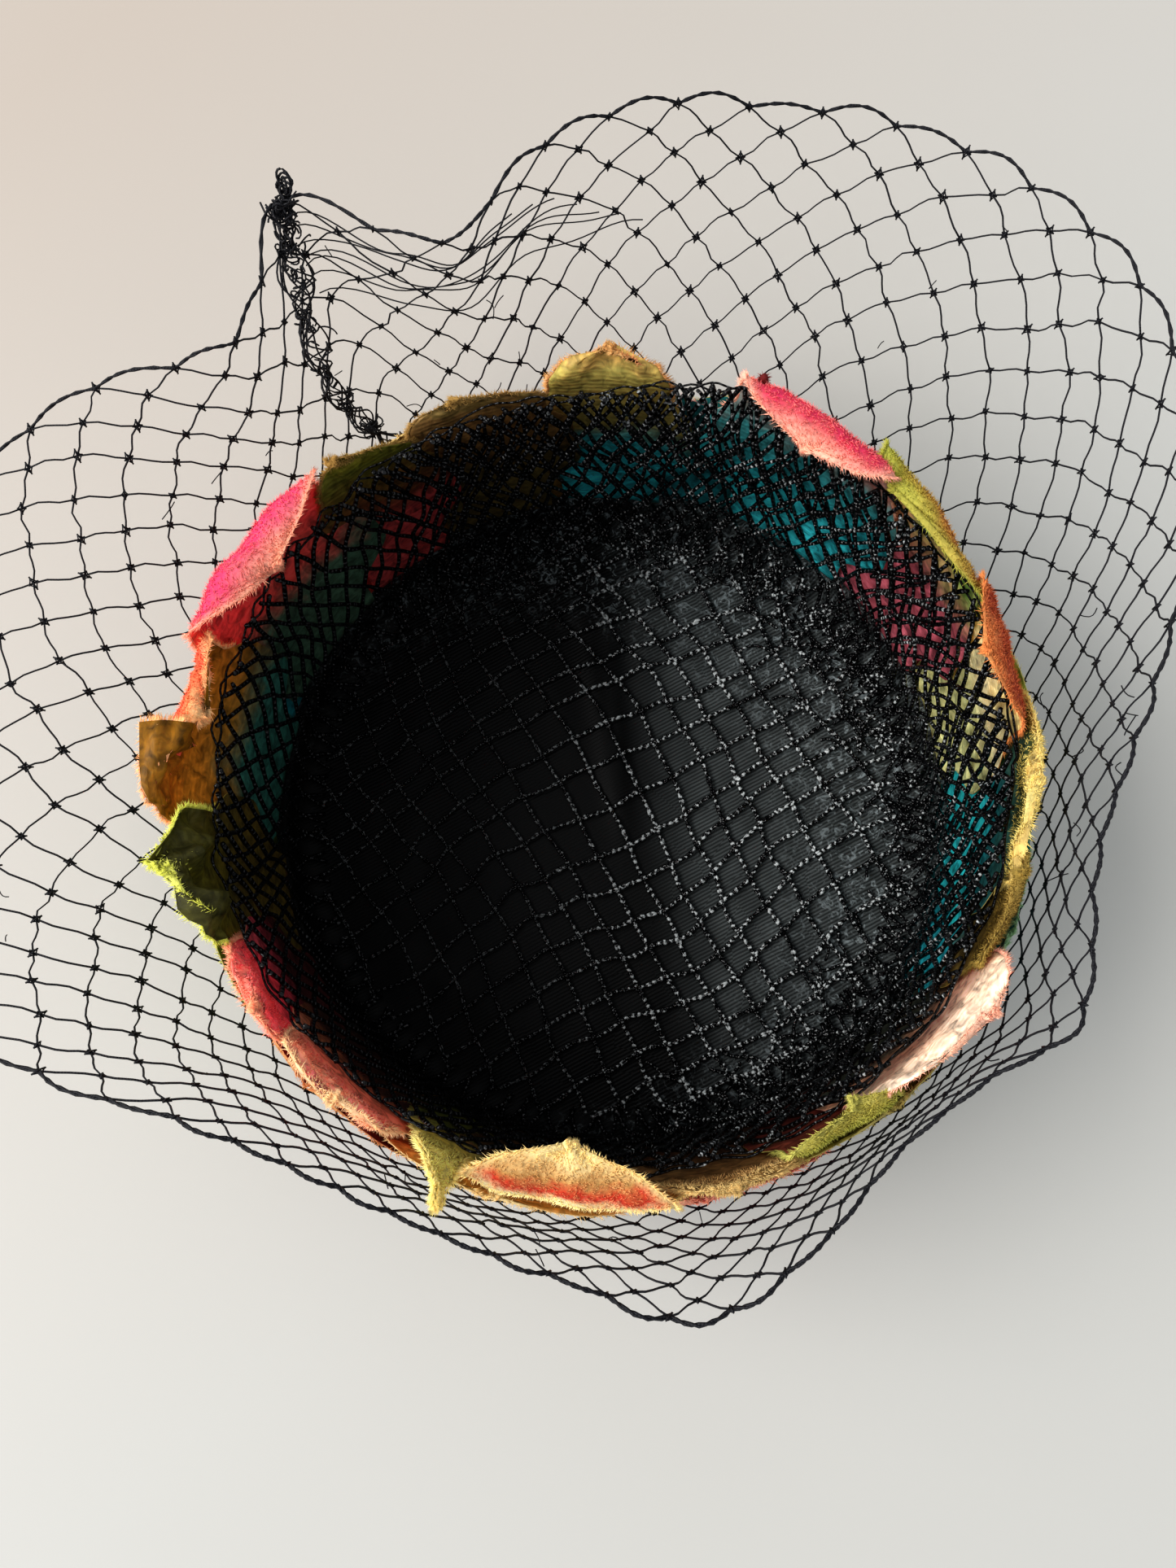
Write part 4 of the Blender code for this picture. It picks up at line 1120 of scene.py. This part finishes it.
def cotton_velvet(name, colours, fringe, stops, sides=()):
    """Cotton velvet, dyed by hand: a deep, soft colour that runs in blotches of 6 mm from
    foot to tip through the stops, and towards the two sides where they have colours of
    their own. Its edge takes the fringe's colour. The tips of its tufts are painted
    lighter and towards the fringe's colour, a painted highlight. In flecks of 1 mm it is
    painted darker between the tufts and lighter on them, a painted shade and highlight. It
    glows at grazing angles and lets some light through."""
    material, tree, shader, place, uv = new_material(name)
    uv = add_node(tree, 'SeparateXYZ', {0: uv})
    blotch = add_node(tree, 'TexNoise', {"Vector": place, "Scale": every(6.25), "Detail": 3.0,
                                         "Roughness": 0.6})
    shifted = add_node(tree, 'Math', {0: blotch, 1: 0.16, 2: -0.08}, operation='MULTIPLY_ADD')
    along = add_node(tree, 'Math', {0: uv.outputs["Y"], 1: shifted}, operation='ADD')
    dye = add_node(tree, 'ValToRGB', {"Fac": along}, tuple(zip(stops, colours))).outputs["Color"]
    for colour, inner, outer in zip(sides, (0.45, 0.55), (0.0, 1.0)):
        near = add_node(tree, 'MapRange', {"Value": uv.outputs["X"], "From Min": inner, "From Max": outer})
        dye = add_node(tree, 'Mix', {0: near, 6: dye, 7: linear(colour)}, data_type='RGBA').outputs[2]
    middle = add_node(tree, 'Math', {0: uv.outputs["X"], 1: 0.5}, operation='SUBTRACT')
    aside = add_node(tree, 'Math', {0: middle}, operation='ABSOLUTE')
    side = add_node(tree, 'MapRange', {"Value": aside, "From Min": 0.40, "From Max": 0.52})
    top = add_node(tree, 'MapRange', {"Value": uv.outputs["Y"], "From Min": 0.93, "From Max": 1.01})
    edge = add_node(tree, 'Math', {0: side, 1: top}, operation='MAXIMUM')
    tuft = add_node(tree, 'Attribute', {}, attribute_name="pile").outputs["Fac"]
    # Painted highlight: the tufts' tips turn towards the fringe's colour
    painted_tip_light = add_node(tree, 'Math', {0: tuft, 1: 0.45}, operation='MULTIPLY')
    pale = add_node(tree, 'Math', {0: edge, 1: painted_tip_light}, operation='MAXIMUM')
    tone = add_node(tree, 'Mix', {0: pale, 6: dye, 7: linear(fringe)}, data_type='RGBA')
    fleck = add_node(tree, 'TexNoise', {"Vector": place, "Scale": every(1.11), "Detail": 2.0,
                                        "Roughness": 0.7})
    # Painted shade and highlight: the flecks of 1 mm scale the colour from 0.55 to 1.55, darker between the
    # tufts and lighter on them, and the tufts' tips are painted 70% lighter
    depth = add_node(tree, 'Math', {0: fleck, 1: 1.0, 2: 0.55}, operation='MULTIPLY_ADD')
    bright = add_node(tree, 'Math', {0: tuft, 1: 0.7, 2: depth}, operation='MULTIPLY_ADD')
    colour = add_node(tree, 'Mix', {0: 1.0, 6: tone.outputs[2], 7: bright}, data_type='RGBA',
                      blend_type='MULTIPLY').outputs[2]
    bump = add_node(tree, 'Bump', {"Height": fleck, "Strength": 0.7, "Distance": 0.0006})
    set_inputs(tree, shader, {"Base Color": colour, "Normal": bump, "Roughness": 0.8,
                              "Specular IOR Level": 0.25, "Sheen Weight": 0.12,
                              "Sheen Roughness": 0.35, "Sheen Tint": linear(fringe)})
    let_light_through(tree, shader, colour, 0.28)
    return material


def sized_cotton(name, colours, bend_at):
    """Sized cotton, the petal's inner side: a dull satin in uneven dye, crumpled in creases
    of 3 mm, with painted shade in their hollows and a painted highlight on their facets,
    and a weave whose threads, 0.35 mm apart, are drawn at 1.3 mm so that they show. Light
    from behind glows in it."""
    material, tree, shader, place, uv = new_material(name)
    uv = add_node(tree, 'SeparateXYZ', {0: uv})
    blotch = add_node(tree, 'TexNoise', {"Vector": place, "Scale": every(11.1), "Detail": 4.0,
                                         "Roughness": 0.62})
    shifted = add_node(tree, 'Math', {0: blotch, 1: 0.40, 2: -0.20}, operation='MULTIPLY_ADD')
    along = add_node(tree, 'Math', {0: uv.outputs["Y"], 1: shifted}, operation='ADD')
    third = max(bend_at + (1 - bend_at) * 0.4, 0.7)
    dye = add_node(tree, 'ValToRGB', {"Fac": along}, tuple(zip((0.44, 0.60, third, 0.96), colours)))
    weave = add_node(tree, 'TexWave', {"Vector": place, "Scale": bands(1.32), "Distortion": 1.2,
                                       "Detail": 1.0}, bands_direction='Z')
    crease = add_node(tree, 'TexNoise', {"Vector": place, "Scale": every(3.03), "Detail": 3.0,
                                         "Distortion": 1.0})
    # Painted shade and highlight: the dye is scaled by 3.2 n - 0.45 for the crease noise n, darker in its
    # hollows and lighter on its facets
    painted_crease_shading = add_node(tree, 'Math', {0: crease, 1: 3.2, 2: -0.45}, operation='MULTIPLY_ADD')
    colour = add_node(tree, 'Mix', {0: 1.0, 6: dye, 7: painted_crease_shading}, data_type='RGBA',
                      blend_type='MULTIPLY').outputs[2]
    height = add_node(tree, 'Math', {0: weave.outputs["Fac"], 1: 0.25, 2: crease},
                      operation='MULTIPLY_ADD')
    bump = add_node(tree, 'Bump', {"Height": height, "Strength": 0.6, "Distance": 0.0005})
    set_inputs(tree, shader, {"Base Color": colour, "Normal": bump, "Roughness": 0.55,
                              "Specular IOR Level": 0.35})
    let_light_through(tree, shader, colour, 0.45)
    return material


def cotton_thread(colours):
    """Dyed cotton thread of the veil: matt black with a faint blue cast and fluff of 1.4 mm,
    and the ribs of its twist every 0.6 mm along each strand."""
    material, tree, shader, place, uv = new_material("cotton veil thread")
    uv = add_node(tree, 'SeparateXYZ', {0: uv})
    twist = add_node(tree, 'Math', {0: uv.outputs["Y"], 1: 2 * np.pi / 0.6}, operation='MULTIPLY')
    rib = add_node(tree, 'Math', {0: twist}, operation='SINE')
    fluff = add_node(tree, 'TexNoise', {"Vector": place, "Scale": every(1.43), "Detail": 2.0})
    height = add_node(tree, 'Math', {0: rib, 1: 0.3, 2: fluff}, operation='MULTIPLY_ADD')
    bump = add_node(tree, 'Bump', {"Height": height, "Strength": 0.5, "Distance": 0.0002})
    tone = add_node(tree, 'Mix', {0: fluff, 6: tuple(colours.thread), 7: linear("1c1c22")},
                    data_type='RGBA')
    set_inputs(tree, shader, {"Base Color": tone.outputs[2], "Normal": bump, "Roughness": 0.6,
                              "Specular IOR Level": 0.3})
    return material


def glazed_cord(name, colours, dashes, gloss):
    """Glazed rayon cord of the lining: near black and shiny, with a bright dash painted in
    its colour about every 1.7 mm, a painted highlight for the light its twist catches. A
    noise of 2.4 mm shifts the twist and noises of 1 and 5 mm are added to it, so that the
    dashes come in uneven groups. A larger value of dashes gives more of them. They are dim
    at the left and bright at the right, as in the photograph: painted shade on the left,
    where the wall shades the net."""
    material, tree, shader, place, uv = new_material(name)
    uv = add_node(tree, 'SeparateXYZ', {0: uv})
    turn = add_node(tree, 'Math', {0: uv.outputs["Y"], 1: 2 * np.pi / 1.7}, operation='MULTIPLY')
    wander = add_node(tree, 'TexNoise', {"Vector": place, "Scale": every(2.38), "Detail": 2.0,
                                         "Roughness": 0.6})
    phase = add_node(tree, 'Math', {0: wander, 1: 9.0, 2: turn}, operation='MULTIPLY_ADD')
    rib = add_node(tree, 'Math', {0: phase}, operation='SINE')
    grain = add_node(tree, 'TexNoise', {"Vector": place, "Scale": every(0.91), "Detail": 1.0})
    patch = add_node(tree, 'TexNoise', {"Vector": place, "Scale": every(5.26), "Detail": 2.0})
    peak = add_node(tree, 'Math', {0: grain, 1: 4.0, 2: rib}, operation='MULTIPLY_ADD')
    peak = add_node(tree, 'Math', {0: patch, 1: 5.0, 2: peak}, operation='MULTIPLY_ADD')
    # Painted highlight: where the twist and the noises peak, the cord's colour turns to the glint colour
    dash = add_node(tree, 'MapRange', {"Value": peak, "From Min": 6.3 - dashes, "From Max": 7.2 - dashes})
    # Painted shade: the painted highlights fade to 12% towards the hat's left, where the wall shades the net
    across = add_node(tree, 'SeparateXYZ', {0: place})
    lit = add_node(tree, 'MapRange', {"Value": across.outputs["X"], "From Min": -0.02, "From Max": 0.02,
                                      "To Min": 0.12, "To Max": 1.0})
    glint = add_node(tree, 'Math', {0: dash, 1: lit}, operation='MULTIPLY')
    tone = add_node(tree, 'Mix', {0: glint, 6: tuple(colours.cord), 7: tuple(colours.glint)},
                    data_type='RGBA')
    bump = add_node(tree, 'Bump', {"Height": rib, "Strength": 0.8, "Distance": 0.0003})
    set_inputs(tree, shader, {"Base Color": tone.outputs[2], "Normal": bump, "Roughness": 0.24,
                              "Specular IOR Level": gloss})
    return material


def ribbed_taffeta(colours):
    """Black ribbed taffeta of the crown: diagonal ribs 0.8 mm apart, drawn at 0.9 mm so that
    they show, which are shifted a little from one gathered facet of 10 mm to the next,
    under slubs of 8 mm like dust. It is darker to the left, as in the photograph, a painted
    shade where the wall shades the crown. Towards its right edge it has grey gleams of 2 mm,
    painted highlights that stand for light on crumpled cloth."""
    material, tree, shader, place, _ = new_material("ribbed taffeta")
    turned = add_node(tree, 'Mapping', {0: place, "Rotation": (0.0, 0.0, np.radians(62.0))})
    facet = add_node(tree, 'TexVoronoi', {"Vector": place, "Scale": every(10.53)})
    push = add_node(tree, 'Mix', {0: 0.0035, 6: turned, 7: facet.outputs["Color"]}, data_type='RGBA')
    rib = add_node(tree, 'TexWave', {"Vector": push.outputs[2], "Scale": bands(0.888),
                                     "Distortion": 0.8, "Detail": 1.0},
                   bands_direction='X').outputs["Fac"]
    tone = add_node(tree, 'Mix', {0: rib, 6: linear("1e2020"), 7: tuple(colours.taffeta)},
                    data_type='RGBA')
    # Painted shade: the crown's colour falls to 2% to the left of a slanted line near its middle, where the
    # wall shades it
    across = add_node(tree, 'SeparateXYZ', {0: place})
    slant = add_node(tree, 'Math', {0: across.outputs["Y"], 1: 0.15, 2: across.outputs["X"]},
                     operation='MULTIPLY_ADD')
    lean = add_node(tree, 'MapRange', {"Value": slant, "From Min": 0.004, "From Max": 0.028,
                                       "To Min": 0.02, "To Max": 1.0}, interpolation_type='SMOOTHSTEP')
    tone = add_node(tree, 'Mix', {0: 1.0, 6: tone.outputs[2], 7: lean}, data_type='RGBA',
                    blend_type='MULTIPLY')
    slub = add_node(tree, 'TexNoise', {"Vector": place, "Scale": every(7.69), "Detail": 5.0})
    lit = add_node(tree, 'Math', {0: slub, 1: 1.6, 2: 0.25}, operation='MULTIPLY_ADD')
    tone = add_node(tree, 'Mix', {0: 1.0, 6: tone.outputs[2], 7: lit}, data_type='RGBA',
                    blend_type='MULTIPLY')
    # Painted highlight: grey gleams of 2 mm where a noise peaks, in a ring towards the right edge
    crumple = add_node(tree, 'TexNoise', {"Vector": place, "Scale": every(2.38), "Detail": 4.0,
                                          "Roughness": 0.7, "Distortion": 1.5})
    gleam = add_node(tree, 'MapRange', {"Value": crumple, "From Min": 0.53, "From Max": 0.64})
    away = add_node(tree, 'VectorMath', {0: place, 1: (-0.022, -0.012, 0.0)}, operation='DISTANCE')
    right = add_node(tree, 'MapRange', {"Value": away.outputs["Value"], "From Min": 0.062,
                                        "From Max": 0.096})
    crumpled = add_node(tree, 'Math', {0: gleam, 1: right}, operation='MULTIPLY')
    tone = add_node(tree, 'Mix', {0: crumpled, 6: tone.outputs[2], 7: linear("848c8e")},
                    data_type='RGBA')
    height = add_node(tree, 'Math', {0: slub, 1: 1.5, 2: rib}, operation='MULTIPLY_ADD')
    bump = add_node(tree, 'Bump', {"Height": height, "Strength": 0.3, "Distance": 0.0003})
    set_inputs(tree, shader, {"Base Color": tone.outputs[2], "Normal": bump, "Roughness": 0.55,
                              "Specular IOR Level": 0.12})
    return material


def painted_board(colours):
    """Eggshell paint on the floor's board: pale and almost matt, with faint scuffs of 17 cm,
    and warmer in its far left corner."""
    material, tree, shader, place, _ = new_material("eggshell painted board")
    scuff = add_node(tree, 'TexNoise', {"Vector": place, "Scale": every(167), "Detail": 6.0})
    tone = add_node(tree, 'Mix', {0: scuff, 6: tuple(colours.floor), 7: linear("afaea9")},
                    data_type='RGBA')
    split = add_node(tree, 'SeparateXYZ', {0: place})
    corner = add_node(tree, 'Math', {0: split.outputs["X"], 1: split.outputs["Y"]},
                      operation='SUBTRACT')
    warm = add_node(tree, 'MapRange', {"Value": corner, "From Min": 0.05, "From Max": -0.40})
    tone = add_node(tree, 'Mix', {0: warm, 6: tone.outputs[2], 7: linear("a99f95")},
                    data_type='RGBA')
    set_inputs(tree, shader, {"Base Color": tone.outputs[2], "Roughness": 0.55})
    return material


# Operators

class HAT_OT_stage(bpy.types.Operator):
    """Add the floor, the soft light of a window on the left and the camera"""

    bl_idname = "hat.add_stage"
    bl_label = "Stage"

    def execute(self, context):
        scene = context.scene
        reach = 3.0         # metres from the middle of the floor to its sides
        sunk = 0.0002       # so that the crown's flat face doesn't fight with it
        mesh = bpy.data.meshes.new("floor")
        corners = np.array([(-reach, -reach, -sunk), (reach, -reach, -sunk),
                            (reach, reach, -sunk), (-reach, reach, -sunk)])
        mesh.from_pydata(corners, [], [(0, 1, 2, 3)])
        mesh.materials.append(painted_board(scene.hat_colours))
        floor = bpy.data.objects.new("floor", mesh)
        scene.collection.objects.link(floor)
        window = bpy.data.lights.new("window", 'AREA')
        window.shape = 'RECTANGLE'
        window.size = 3.6
        window.size_y = 2.0
        window.energy = 182.0
        window.color = (1.0, 0.985, 0.96)
        light = bpy.data.objects.new("window", window)
        scene.collection.objects.link(light)
        source = Vector((-2.75, -0.1, 2.7))
        hat = Vector((0.0, 0.0, 0.03))
        light.location = source
        light.rotation_euler = (source - hat).to_track_quat('Z', 'Y').to_euler()
        world = bpy.data.worlds.new("room")
        world.use_nodes = True
        background = world.node_tree.nodes["Background"]
        background.inputs["Color"].default_value = (0.93, 0.96, 1.0, 1.0)
        background.inputs["Strength"].default_value = 0.74
        scene.world = world
        camera = bpy.data.cameras.new("camera")
        camera.lens = 27.05
        camera.clip_start = 0.01
        viewer = bpy.data.objects.new("camera", camera)
        scene.collection.objects.link(viewer)
        right = Vector((0.99963, 0.00517, -0.02677))
        up = Vector((0.0, 0.98189, 0.18946))
        back = right.cross(up)
        turn = Matrix((right, up, back)).transposed().to_4x4()
        viewer.matrix_world = Matrix.Translation(Vector((2.32, -50.57, 304.56)) * MM) @ turn
        scene.camera = viewer
        scene.view_settings.view_transform = 'Standard'
        scene.view_settings.look = 'Medium High Contrast'
        return {'FINISHED'}


class HAT_OT_crown(bpy.types.Operator):
    """Add the crown of black ribbed taffeta"""

    bl_idname = "hat.add_crown"
    bl_label = "Crown"

    def execute(self, context):
        scene = context.scene
        put(crown_cloth(scene.hat_sizes), "crown_cloth", [ribbed_taffeta(scene.hat_colours)],
            ["crown"])
        return {'FINISHED'}


class HAT_OT_lining(bpy.types.Operator):
    """Add the net lining: the wall's layers, the net over the crown and its gathers"""

    bl_idname = "hat.add_lining"
    bl_label = "Net lining"

    def execute(self, context):
        sizes = context.scene.hat_sizes
        colours = context.scene.hat_colours
        rng = np.random.default_rng(5)
        # The third value sets how many highlights are painted on each cord
        glazed = glazed_cord("glazed rayon cord", colours, 1.6, 0.4)
        matt = glazed_cord("matt rayon cord", colours, 0.4, 0.3)
        crushed = glazed_cord("crushed rayon cord", colours, 1.0, 0.5)
        doubled = glazed_cord("doubled rayon cord", colours, 0.65, 0.4)
        whole, back, top = [wall_net(sizes, *layer) for layer in WALL_NETS]
        put(joined([whole, rim_binding(sizes)]), "lining_wall_net", [matt], ["net_lining"])
        put(joined([back, top]), "lining_second_net", [doubled], [])
        put(gathers(sizes, rng), "lining_gathers", [crushed], [])
        put(crown_net(sizes, rng), "lining_crown_net", [glazed], [])
        return {'FINISHED'}


class HAT_OT_rim_petals(bpy.types.Operator):
    """Add the velvet petals and leaves round the rim"""

    bl_idname = "hat.add_rim_petals"
    bl_label = "Rim petals"

    def execute(self, context):
        sizes = context.scene.hat_sizes
        cloth = sizes.petal_sheet / MM
        pile = (sizes.pile_length / MM, sizes.pile_width / MM)
        short_pile = (sizes.pile_length / MM * 0.8, sizes.pile_width / MM)
        for number, (name, form, look) in enumerate(RIM_PETALS):
            rng = np.random.default_rng(100 + number)
            reach, bend = form[2:4]
            # share of the height at which pile and dye change to the tip's
            bend_at = (LEAN_START_Z - RIM_BASE_Z) / (ROLL_START_Z + reach - RIM_BASE_Z)
            inner = rim_petal(form, look["wave"], look["crinkle"], 200 + 10 * number)
            outer = inner + normals(inner) * cloth
            parts = [sheet(outer, cloth, 0, 1),
                     pile_on(outer, rng, RIM_TIP_HAIRS, bend_at, 1.0, RIM_EDGE_HAIRS, bend_at - 0.05, *pile),
                     pile_on(outer, rng, RIM_WALL_HAIRS, 0.05, bend_at, 2, 0.9, *pile)]
            if name in FUZZY_INSIDE:
                parts.append(pile_on(inner[::-1], rng, INSIDE_FACE_HAIRS, bend_at, 1.0,
                                     INSIDE_EDGE_HAIRS, bend_at, *short_pile))
            usual = ROLLED_SHARES if bend > ROLLED_BEND else STANDING_SHARES
            stops = [bend_at + (1 - bend_at) * share for share in look.get("shares", usual)]
            velvet = cotton_velvet(f"cotton velvet {name}", look["velvet"], look["fringe"], stops,
                                   look.get("sides", ()))
            cotton = sized_cotton(f"sized cotton {name}", look["lining"], bend_at)
            put(joined(parts), f"velvet_{name}", [velvet, cotton], [name])
        return {'FINISHED'}


class HAT_OT_outer_petals(bpy.types.Operator):
    """Add the outer row of velvet petals round the crown edge"""

    bl_idname = "hat.add_outer_petals"
    bl_label = "Outer petals"

    def execute(self, context):
        sizes = context.scene.hat_sizes
        cloth = sizes.petal_sheet / MM
        pile = (sizes.pile_length / MM, sizes.pile_width / MM)
        for number, (colours, lining, fringe, slot) in enumerate(OUTER_PETALS):
            name = f"outer_petal_{number + 1:02d}"
            rng = np.random.default_rng(500 + number)
            inner = outer_petal(number, 600 + number)
            outer = inner + normals(inner) * cloth
            parts = [sheet(outer, cloth, 0, 1),
                     pile_on(outer, rng, OUTER_FACE_HAIRS, 0.02, 1.0, OUTER_EDGE_HAIRS, 0.2, *pile)]
            velvet = cotton_velvet(f"cotton velvet {name}", colours, fringe, OUTER_SHARES)
            cotton = sized_cotton(f"sized cotton {name}", (lining,) * 4, 0.5)
            put(joined(parts), f"velvet_{name}", [velvet, cotton], [name])
        return {'FINISHED'}


class HAT_OT_veil(bpy.types.Operator):
    """Add the flared veil of knotted net with its scalloped edge"""

    bl_idname = "hat.add_veil"
    bl_label = "Veil"

    def execute(self, context):
        scene = context.scene
        rng = np.random.default_rng(11)
        parts = [veil_net(scene.hat_sizes, rng), veil_edge(scene.hat_sizes, rng),
                 veil_strays(scene.hat_sizes, rng)]
        put(joined(parts), "veil_net", [cotton_thread(scene.hat_colours)], ["veil"])
        return {'FINISHED'}


class HAT_OT_veil_seam(bpy.types.Operator):
    """Add the bunched seam that closes the veil"""

    bl_idname = "hat.add_veil_seam"
    bl_label = "Veil seam"

    def execute(self, context):
        scene = context.scene
        rng = np.random.default_rng(12)
        material = bpy.data.materials["cotton veil thread"]
        put(seam_strands(scene.hat_sizes, rng), "veil_seam_tuft", [material], ["veil_seam"])
        return {'FINISHED'}


class HAT_OT_stalk(bpy.types.Operator):
    """Add the short velvet stub of a stalk behind the pink petal"""

    bl_idname = "hat.add_stalk"
    bl_label = "Stalk stub"

    def execute(self, context):
        sizes = context.scene.hat_sizes
        rng = np.random.default_rng(13)
        axis = polar(STALK_AXIS_R, STALK_AZIMUTH, 0.0)
        heights = np.array([STALK_LOW, 66.0, 69.0, 72.0, 74.6, STALK_HIGH])
        radii = np.array([0.8, 0.9, 0.95, 1.0, 1.0, 0.75])
        path = axis + heights[:, None] * np.array([0.0, 0.0, 1.0])
        stub = tubes(path[None], radii[None], 12)
        stub.uv[:] = 0.5
        turn = rng.uniform(0, 2 * np.pi, STALK_HAIRS)
        height = rng.uniform(STALK_LOW + 0.5, STALK_HIGH, STALK_HAIRS)
        out = np.stack([np.cos(turn), np.sin(turn), rng.uniform(0, 0.7, STALK_HAIRS)], -1)
        root = axis + np.stack([0.85 * out[:, 0], 0.85 * out[:, 1], height], -1)
        half = np.full(STALK_HAIRS, 0.5)
        hairs = tufts(root, out, rng.uniform(0.5, 1.1, STALK_HAIRS), sizes.pile_width / MM, half, half)
        red = cotton_velvet("cotton velvet stalk", ("4a1414", "6a2020", "7a2828", "7a2828"), "8a3430",
                            (0.0, 0.4, 0.7, 1.0))
        put(joined([stub, hairs]), "velvet_stalk_stub", [red], ["stalk_stub"])
        return {'FINISHED'}


class HAT_PT_panel(bpy.types.Panel):
    """Buttons for the pieces of the hat, with their sizes and colours"""

    bl_idname = "HAT_PT_panel"
    bl_label = "Petal Pillbox Hat"
    bl_space_type = 'VIEW_3D'
    bl_region_type = 'UI'
    bl_category = "Hat"

    def draw(self, context):
        layout = self.layout
        for operator in OPERATORS:
            layout.operator(operator.bl_idname)
        for group in (context.scene.hat_sizes, context.scene.hat_colours):
            column = layout.column()
            for name in group.__annotations__:
                column.prop(group, name)


OPERATORS = (HAT_OT_stage, HAT_OT_crown, HAT_OT_lining, HAT_OT_rim_petals, HAT_OT_outer_petals,
             HAT_OT_veil, HAT_OT_veil_seam, HAT_OT_stalk)
CLASSES = (HatSizes, HatColours, *OPERATORS, HAT_PT_panel)


def register():
    """Register the classes and give each scene its sizes and colours."""
    for item in CLASSES:
        bpy.utils.register_class(item)
    bpy.types.Scene.hat_sizes = bpy.props.PointerProperty(type=HatSizes)
    bpy.types.Scene.hat_colours = bpy.props.PointerProperty(type=HatColours)


def unregister():
    """Undo what register does."""
    del bpy.types.Scene.hat_sizes
    del bpy.types.Scene.hat_colours
    for item in reversed(CLASSES):
        bpy.utils.unregister_class(item)


def main():
    register()
    bpy.ops.hat.add_stage()
    bpy.ops.hat.add_crown()
    bpy.ops.hat.add_lining()
    bpy.ops.hat.add_rim_petals()
    bpy.ops.hat.add_outer_petals()
    bpy.ops.hat.add_veil()
    bpy.ops.hat.add_veil_seam()
    bpy.ops.hat.add_stalk()


if __name__ == "__main__":
    main()
